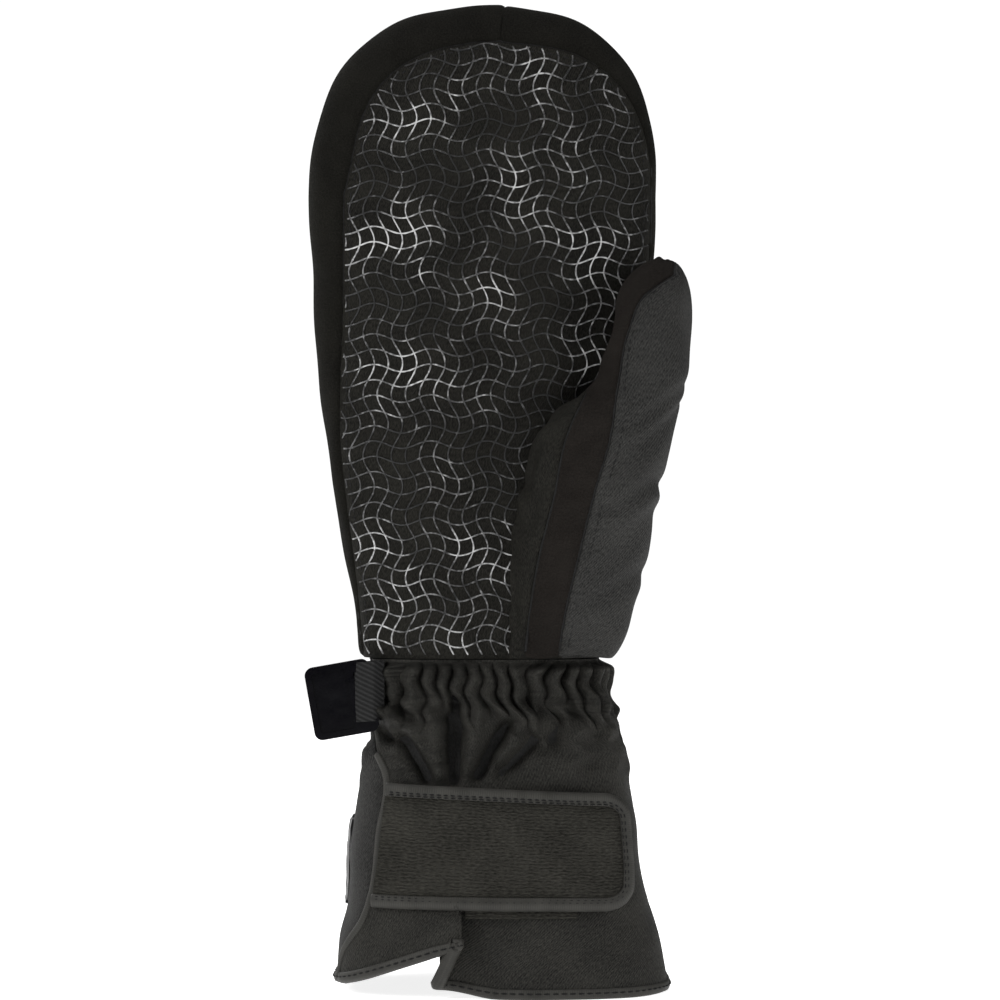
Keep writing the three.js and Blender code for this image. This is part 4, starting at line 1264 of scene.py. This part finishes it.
def cuff_relief(x, z, q, front):
    """Gathers at the wrist and the folds that run down from them."""
    course = np.where(q < 0.5, q, 1 - q) * 210
    zigzag = 0.9 * np.sin(TAU * z / 9 + course * 0.13)
    wander = zigzag + 1.6 * ripples(course, z * 0.7, 24, 51)
    ridge = np.abs(np.sin(math.pi * course / GATHER_PITCH + wander / 2)) ** 0.9
    low = GATHER_LOW - 4 + 3 * ripples(course, 0 * z, 9, 57)
    within = ease((z - low + 3) / 6) * ease((GATHER_HIGH - z) / 3)
    gather = GATHER_HEIGHT * within * (1 + 0.35 * ripples(course, z, 13, 58)) * ridge
    upper = ease((z - 58) / 22) * (1 - ease((z - 90) / 6))
    fan = 1 - np.abs(np.sin(math.pi * course / (2.1 * GATHER_PITCH) + 0.5 * wander))
    loose = 1.9 * (fan - 0.4) + 1.2 * ripples(course, z * 0.6, 15, 52) + 0.5 * ripples(course, z, 8, 53)
    loose = upper * loose
    soft = 0.5 * ripples(course, z, 42, 54) + 0.18 * ripples(course, z, 15, 55)
    named = np.where(front, segment_relief(x, z, RIDGES) - segment_relief(x, z, VALLEYS), 0)
    calm = np.where(front, 1 - 0.7 * ease((62 - z) / 8) * ease((z - 22) / 6), 1)
    return gather + (loose * 0.8 + soft) * calm + named - 0.7 * ease((z - 92) / 8)


def seam_course(z):
    """Course q of the side seam at a height of the plain form."""
    share = share_at(z, keyed(z, SIDE_SEAM_Z, SIDE_SEAM_X))
    k = pleat_share(z / CUFF_Z)
    mixed = mix(COURSE, FOLDED_SHARE, k)
    left = COURSE < FOLD_FIRST * 0.9
    return 0.5 * np.interp(share, mixed[left], COURSE[left])


def pleat_share(v):
    """How far the pleat is folded at a height share: 1 at the hem, 0 from PLEAT_TOP up."""
    return ease((PLEAT_TOP - v) / 0.34)


def cuff_point(q, v, lift=0.0, relief=1.0, fold=1.0):
    """(points, normals in plan) on the cuff. q goes round from the left over the palm side, v goes up."""
    q, v = np.broadcast_arrays(np.asarray(q, float), np.asarray(v, float)[:, None])
    rows = []
    for course, row_v in zip(q % 1.0, v[:, 0]):
        base_z = row_v * CUFF_Z
        k = pleat_share(row_v) * fold
        front = course < 0.5
        across = np.where(front, course * 2, 2 - course * 2)
        share = np.where(front, mix(across, np.interp(across, COURSE, FOLDED_SHARE), k), across)
        out = np.where(front, np.interp(across, COURSE, FOLDED_OUT) * k, 0)
        x, y = np.zeros_like(share), np.zeros_like(share)
        for back in (False, True):
            ring_x, ring_y, ring_share = half_ring(base_z, back)
            here = front != back
            x[here] = np.interp(share[here], ring_share, ring_x)
            y[here] = np.interp(share[here], ring_share, ring_y)
        middle, half, front_depth, _ = cuff_shape(base_z)
        steep = np.stack([(x - middle) / half**2, y / front_depth**2], axis=-1)
        steep = np.sign(steep) * np.abs(steep * half) ** 1.6
        n = unit(steep)
        up = hem_height(course)
        z = up + (CUFF_Z - up) * row_v
        seam = seam_course(base_z)
        gap = np.minimum(np.abs(course - seam), np.abs(course - 1 - seam)) * 210
        bumps = cuff_relief(x, z, course, front) * ease(gap / 10)
        out = out + relief * (bumps + tuck(gap, 3.2, 1.0))
        beside_clip = bump_at(x, CLIP_ROOM_X, CLIP_ROOM_WIDTH)
        beside_clip = beside_clip * ease((z - CLIP_ROOM_LOW) / 5) * ease((CLIP_ROOM_HIGH - z) / 3)
        out = out - relief * CLIP_ROOM * beside_clip
        under_strap = np.where(front, ease((z - 23) / 5) * ease((66 - z) / 4), 0)
        out = mix(out, np.minimum(out, 0.9), under_strap)
        rows.append(np.stack([x + n[:, 0] * out, y + n[:, 1] * out, z], axis=-1))
    points = np.array(rows)
    ahead = np.gradient(points[..., :2], axis=1)
    normals = np.zeros_like(points)
    normals[..., :2] = unit(np.stack([ahead[..., 1], -ahead[..., 0]], axis=-1))
    return points + ORIGIN + normals * np.asarray(lift), normals


def on_cuff(x, z, lift):
    """(points, normals) in front of the cuff's plain form, at grids of local x and z."""
    x, z, lift = np.broadcast_arrays(x, z, lift)
    middle, half, front, _ = cuff_shape(z)
    share = np.clip((x - middle) / half, -0.999, 0.999)
    deep = face_depth(np.abs(share), FRONT_POWER)
    sideways = np.sign(share) * np.abs(share) ** (FRONT_POWER - 1) / half
    n = unit(stack(sideways, -(deep ** (FRONT_POWER - 1)) / front, np.zeros_like(share)))
    return stack(x, -front * deep, z) + ORIGIN + n * lift[..., None], n


def build_cuff():
    """The gauntlet: both halves of its shell, its lining, the elastics and the side seam's piping."""
    v = np.concatenate([np.linspace(0, 0.62, 90), np.linspace(0.62, 1, 110)[1:]])
    seam = np.array([seam_course(a * CUFF_Z) for a in v])[:, None]
    palm, _ = cuff_point(mix(seam, 0.5, np.linspace(0, 1, 300)), v)
    back, _ = cuff_point(mix(0.5, 1 + seam, np.linspace(0, 1, 240)), v)
    pieces = [
        cloth("cuff_palm_panel", palm, "cuff", SHELL),
        cloth("cuff_back_panel", back, "twill", SHELL),
    ]
    lining_v = np.linspace(0.004, 0.995, 70)
    lining_q = np.linspace(0, 1, 321)
    behind_pleat = bump_at(lining_q[None], 0.2, 0.07) * pleat_share(lining_v)[:, None]
    lift = (-2.4 - 3.2 * behind_pleat)[..., None]
    lining, _ = cuff_point(lining_q, lining_v, lift=lift, relief=0.35, fold=0.0)
    pieces.append(cloth("cuff_lining", lining, "lining", 0.7, wrap=True))
    for name, low, high in (("wrist_elastic_upper", 95, 99), ("wrist_elastic_lower", 88, 92)):
        band_v = np.linspace(low, high, 7) / CUFF_Z
        band, _ = cuff_point(np.linspace(0, 1, 241), band_v, lift=-1.5, relief=0.25)
        pieces.append(cloth(name, band, "elastic", 0.7, wrap=True))
    seam_v = np.linspace(0.02, 0.7, 90)
    seam_q = np.array([[seam_course(a * CUFF_Z)] * 3 for a in seam_v]) + [-0.004, 0, 0.004]
    path, out = cuff_point(seam_q, seam_v, lift=0.35)
    pieces.append(swept("side_seam_piping", [(path[:, 1], out[:, 1])], tube(1.35, 12, 1.2), "binding"))
    for piece in pieces:
        stand_for(piece)
        bend_wrist(piece)


def build_hem():
    """A folded tape over the cuff's lower edge, with its stitch row."""
    q = np.linspace(0, 1, 520, endpoint=False)
    grid, out = cuff_point(np.concatenate([q, [1.0]]), np.array([0.0, 0.012]))
    path, normals = grid[0, :-1], out[0, :-1]
    up = grid[1, :-1] - grid[0, :-1]
    normals = unit(normals - up * (normals * up).sum(1, keepdims=True) / (up * up).sum(1, keepdims=True))
    ahead = unit(np.roll(path, -1, axis=0) - np.roll(path, 1, axis=0))
    sign = np.sign((np.cross(normals, ahead) * up).sum(1).mean())
    profile = [
        (-0.5, -0.6),
        (-0.2, 0.35),
        (0.5, 0.75),
        (2.4, 0.7),
        (2.7, 0.3),
        (2.7, -2.9),
        (2.4, -3.3),
        (0.4, -3.3),
        (-0.2, -2.9),
        (-0.5, -2.0),
    ]
    profile = [(a * sign, b) for a, b in profile]
    binding = swept("hem_binding", [(path, normals)], profile, "binding", loop=True)
    stand_for(binding, "cuff")
    row, row_out = cuff_point(np.linspace(0, 1, 520), np.array([0.014, 0.02]), lift=1.0)
    thread = stitches("hem_stitches", [(row[0], row_out[0])], pitch=2.6, length=1.9, radius=0.26)
    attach(thread, "cuff")


# ---- strap

STRAP_LEFT_TOP, STRAP_LEFT_LOW = -27.6, -31.4
STRAP_RIGHT_TOP, STRAP_RIGHT_LOW = 43.4, 44.6
STRAP_LIFT = 3.7
STRAP_CORNER = 8
STRAP_HEIGHT = 36.5
BINDING_WIDTH = 4.0
BINDING_JOIN_X = -7.6  # where the binding's two ends overlap


def strap_edge(side, x):
    share = (x + 33) / 80
    return mix(64.6, 60.6, share) if side > 0 else mix(26.9, 25.7, share)


def strap_frame(u, v, margin=0.0):
    """Local x and z on the strap: u from its sewn end to its free end, v from its lower edge up."""
    left = mix(STRAP_LEFT_LOW, STRAP_LEFT_TOP, v)
    right = mix(STRAP_RIGHT_LOW, STRAP_RIGHT_TOP, v) - margin
    height = STRAP_HEIGHT - 2 * margin
    corner = max(STRAP_CORNER - margin, 1)
    edge = np.minimum(v, 1 - v) * height
    cut = np.where(edge < corner, corner - np.sqrt(np.clip(corner**2 - (corner - edge) ** 2, 0, None)), 0)
    x = mix(left, right - cut, u)
    z = mix(strap_edge(-1, x) + margin, strap_edge(1, x) - margin, v)
    return x, z


def strap_outline(margin, count=160):
    """The free outline at a margin: lower edge, round end, upper edge."""
    one = np.ones(count)
    u = np.linspace(0, 1, count)
    v_end = 0.5 - 0.5 * np.cos(np.linspace(0, math.pi, count))
    low = strap_frame(u, 0 * one, margin)
    end = strap_frame(one, v_end, margin)
    high = strap_frame(u[::-1], one, margin)
    x = np.concatenate([low[0], end[0][1:], high[0][1:]])
    z = np.concatenate([low[1], end[1][1:], high[1][1:]])
    run = run_of(np.stack([x, z], axis=1))
    even = np.linspace(0, run[-1], 420)
    return np.interp(even, run, x), np.interp(even, run, z)


def strap_sag(x, z):
    return 0.45 * ripples(x, z, 34, 61) + 0.12 * ripples(x, z, 12, 62)


def strap_row(margin, lift):
    x, z = strap_outline(margin)
    points, normals = on_cuff(x[:, None], z[:, None], (lift + strap_sag(x, z))[:, None])
    return points[:, 0], normals[:, 0]


def build_strap():
    """The strap with its binding, stitches and hook tape, and the pad that it closes on."""
    u, v = np.linspace(0, 1, 130)[None], np.linspace(0, 1, 66)[:, None]
    x, z = strap_frame(u, v, 1.2)
    edge = np.minimum(np.minimum(v, 1 - v) * 34, (1 - u) * 74)
    puff = 0.9 * ease((edge - 1.5) / 4) + strap_sag(x, z)
    body, _ = on_cuff(x, z, STRAP_LIFT + puff)
    strap = stand_for(cloth("strap_body", body, "loop", 1.5))
    profile = [(-2.0, -0.9), (-2.1, 0.2), (-1.6, 1.0), (0, 1.3), (1.6, 1.0), (2.1, 0.2), (2.0, -0.9)]
    edge = [strap_row(BINDING_WIDTH / 2, STRAP_LIFT)]
    binding = stand_for(swept("strap_binding", edge, profile, "binding"))
    rows = [strap_row(BINDING_WIDTH / 2 + off, STRAP_LIFT + 1.2) for off in (0.6, 1.4)]
    thread = stitches("strap_stitches", rows, pitch=2.1, length=1.5, radius=0.2)
    join_z = np.linspace(27.0, 30.0, 9)[:, None]
    join, join_out = on_cuff(np.full((9, 1), BINDING_JOIN_X), join_z, np.full((9, 1), STRAP_LIFT + 1.35))
    step = [(-0.5, -0.3), (-0.3, 0.25), (0.5, 0.1), (0.5, -0.3)]
    mark = swept("strap_binding_join", [(join[:, 0], join_out[:, 0])], step, "binding")
    hook_x, hook_z = strap_frame(mix(0.28, 0.72, u), mix(0.06, 0.9, v))
    hook, _ = on_cuff(hook_x, hook_z, np.full(np.broadcast_shapes(u.shape, v.shape), STRAP_LIFT - 1.6))
    hook = stand_for(cloth("strap_hook_pad", hook, "hook", 0.6))
    for piece in (strap, binding, thread, mark, hook):
        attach(piece, "strap")
    pad_x = np.linspace(-5, 28.6, 90)[None]
    pad_z = mix(23.6, 58.5, v)
    edge = np.minimum(v * 35, 10)
    pad, _ = on_cuff(pad_x, pad_z, 1.3 + tuck(edge, 1.2, 0.6) + 0 * pad_x)
    stand_for(cloth("cuff_loop_pad", pad, "loop", 0.9), "cuff")


# ---- badge, label, webbing, clip

BADGE_ENDS = (0.80, 0.997)
BADGE_LOW, BADGE_HIGH = 23, 51


def build_badge():
    """The plain ribbed badge on the back of the cuff, and the blank label inside it."""
    u = np.linspace(0, 1, 90)
    v = np.linspace(0, 1, 46)
    edge = np.minimum(np.minimum(u, 1 - u)[None] * 45, np.minimum(v, 1 - v)[:, None] * 28)
    q = mix(BADGE_ENDS[0], BADGE_ENDS[1], u)[None] + 0 * v[:, None]
    grid, out = cuff_point(q, mix(BADGE_LOW, BADGE_HIGH, v) / CUFF_Z, relief=0.3)
    lift = 1.6 - 0.8 * (1 - ease(edge / 1.6)) + 0.12 * ripples(u[None] * 45, v[:, None] * 28, 5, 71)
    stand_for(cloth("back_badge", grid + out * lift[..., None], "badge", 1.4), "cuff")
    q = mix(0.735, 0.775, np.linspace(0, 1, 20))[None] + 0 * v[:, None]
    label, _ = cuff_point(q, mix(40, 70, v) / CUFF_Z, lift=-3.6, relief=0.2)
    stand_for(cloth("inside_label", label, "label", 0.25), "cuff")


def build_clip():
    """The webbing tab that holds the clip, and the clip's own finish."""
    low, high = cad_box("clip_webbing")
    low[2] -= 1.8
    right = low[0] + 8.4
    turn = np.linspace(-math.pi / 2, math.pi / 2, 13)
    bend_x = low[0] - 1.2 + 2.6 * (1 - np.cos(turn))
    bend_y = (low[1] + high[1]) / 2 + 0.6 - 2.7 * np.sin(turn)
    near = np.linspace(right, bend_x[0] + 0.6, 22)
    far = np.linspace(bend_x[-1] + 0.6, right, 26)
    x = np.concatenate([near, bend_x, far])
    tucked_in = 3.2 * ease((far - right + 3.5) / 3.5)
    y = np.concatenate([np.full(22, bend_y[0]), bend_y, bend_y[-1] + tucked_in])
    v = np.linspace(0, 1, 34)[:, None]
    z = mix(low[2] + 0.8, high[2] + 1.2, v) + (x - low[0]) * 0.06
    grid = stack(x + 0 * v, y - 0.35 * np.sin(math.pi * v), z)
    stand_for(cloth("clip_webbing", grid, "webbing", 1.3, axis=(-32, -14.4 - ORIGIN[1])), "hand")
    clip = bpy.data.objects["clip_plate"]
    plastic = glossy_plastic()
    for slot in clip.material_slots:
        slot.material = plastic


# ---- seams of the hand and thumb


def palm_seam_row(inset, lift):
    rows = []
    for side in (-1, 1):
        length = np.linspace(1.5, SIDE_LENGTH + QUARTER * 0.99, 420)
        z, angle = up_the_side(length)
        x, up = seam_point(side, z, angle, inset)
        rows.append(on_palm(x, up, lift))
    return rows


def build_seams():
    """Dark cords sunk into the seams of palm and thumb as painted shade of the seam grooves, and the
    stitches beside them.
    """
    # painted shade: a dark tube along the palm's seams stands in for the shade in their grooves
    groove_shade = swept("palm_seam_cord", palm_seam_row(-0.2, -0.35), tube(0.75), "thread")
    bend = stitches("palm_seam_stitches", palm_seam_row(2.2, 0.05), pitch=2.6, length=1.9, radius=0.22)
    for piece in (groove_shade, bend):
        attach(piece, "hand")
    z = thumb_heights(WRIST_Z + 2, THUMB_TOP - 0.2, 260)
    rows = [thumb_point(outer_turn(z), z, np.full(260, -1.0))]
    low = np.linspace(WRIST_Z + 2, INNER_TOP_Z, 200)
    rows.append(thumb_point(inner_turn(low), low, np.full(200, -1.0)))
    # painted shade: a dark tube along the thumb's seams stands in for the shade in their grooves
    thumb = swept("thumb_seam_cord", rows, tube(0.45), "thread")
    bend_thumb(thumb)
    rows = [thumb_point(outer_turn(z) - 0.16, z, np.full(260, -0.02))]
    thumb = stitches("thumb_seam_stitches", rows, pitch=2.4, length=1.7, radius=0.2)
    bend_thumb(thumb)


# ---- stage, light and camera


def area_light(name, place, target, size, power, colour=(1, 1, 1)):
    data = bpy.data.lights.new(name, "AREA")
    data.shape = "RECTANGLE"
    data.size, data.size_y = size
    data.energy = power
    data.color = colour
    light = bpy.data.objects.new(name, data)
    bpy.context.scene.collection.objects.link(light)
    light.location = place
    light.rotation_euler = (Vector(target) - Vector(place)).to_track_quat("-Z", "Y").to_euler()


BACKDROP_STRENGTH = 1.05  # what the camera sees behind the mitten
AMBIENT_STRENGTH = 0.1  # what lights it from all round
FLOOR_GLOW = 0.85
FLOOR_REACH = 1.6
FLOOR_Z = -0.0006
CAMERA_DISTANCE = 1.1
CAMERA_HEIGHT = 0.1508
CAMERA_LENS = 126.7


def build_stage():
    """The studio, in metres: its light, pale floor and camera."""
    scene = bpy.context.scene
    world = bpy.data.worlds.new("studio")
    scene.world = world
    world.use_nodes = True
    tree = world.node_tree
    seen = tree.nodes.new("ShaderNodeLightPath")
    backdrop = tree.nodes.new("ShaderNodeBackground")
    dim = tree.nodes["Background"]
    for node, strength in ((backdrop, BACKDROP_STRENGTH), (dim, AMBIENT_STRENGTH)):
        node.inputs["Color"].default_value = (1, 1, 1, 1)
        node.inputs["Strength"].default_value = strength
    either = tree.nodes.new("ShaderNodeMixShader")
    tree.links.new(seen.outputs["Is Camera Ray"], either.inputs[0])
    tree.links.new(dim.outputs[0], either.inputs[1])
    tree.links.new(backdrop.outputs[0], either.inputs[2])
    tree.links.new(either.outputs[0], tree.nodes["World Output"].inputs["Surface"])

    mesh = bpy.data.meshes.new("floor")
    corners = [(a * FLOOR_REACH, b * FLOOR_REACH, 0) for a, b in ((-1, -1), (1, -1), (1, 1), (-1, 1))]
    mesh.from_pydata(corners, [], [(0, 1, 2, 3)])
    floor = bpy.data.objects.new("floor", mesh)
    scene.collection.objects.link(floor)
    floor.location.z = FLOOR_Z
    paper = Nodes("pale_floor", (0.93, 0.93, 0.93), 0.9, Specular_IOR_Level=0.1)
    paper.set("Emission Color", (1, 1, 1, 1))
    paper.set("Emission Strength", FLOOR_GLOW)
    mesh.materials.append(paper.material)
    floor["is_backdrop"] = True

    target = (0, 0, 0.15)
    area_light("key", (-1.15, -0.75, 0.95), target, (0.5, 0.7), 13)
    area_light("fill", (1.3, -0.85, 0.5), target, (0.6, 0.9), 8)
    area_light("top", (0, 0.1, 1.6), target, (1.4, 1.2), 13)
    area_light("rim", (-0.9, 0.9, 0.8), target, (0.8, 0.8), 8)

    lens = bpy.data.cameras.new("camera")
    lens.lens = CAMERA_LENS
    lens.sensor_width = 36
    camera = bpy.data.objects.new("camera", lens)
    scene.collection.objects.link(camera)
    camera.location = (0.00076, 0.0039 - CAMERA_DISTANCE, CAMERA_HEIGHT)
    camera.rotation_euler = (math.pi / 2, 0, 0)
    scene.camera = camera
    scene.view_settings.view_transform = "Standard"


# ---- the mitten


def build_mitten():
    palm = stand_for(build_palm(), "hand")
    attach(build_grip(), "hand")
    stand_for(build_wall(-1, "side_wall_little_finger"), "hand")
    stand_for(build_wall(1, "side_wall_thumb_side"), "hand")
    back = stand_for(build_back(), "hand")
    thumb = list(build_thumb())
    for piece in thumb:
        stand_for(piece)
        bend_thumb(piece)
    build_cuff()
    build_hem()
    build_strap()
    build_badge()
    build_clip()
    build_seams()
    build_inner_layers()


build_stage()
build_mitten()
sizes = {"cad": CAD_BOX, "visual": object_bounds()}
{key: [list(low), list(high)] for key, (low, high) in sizes.items()}
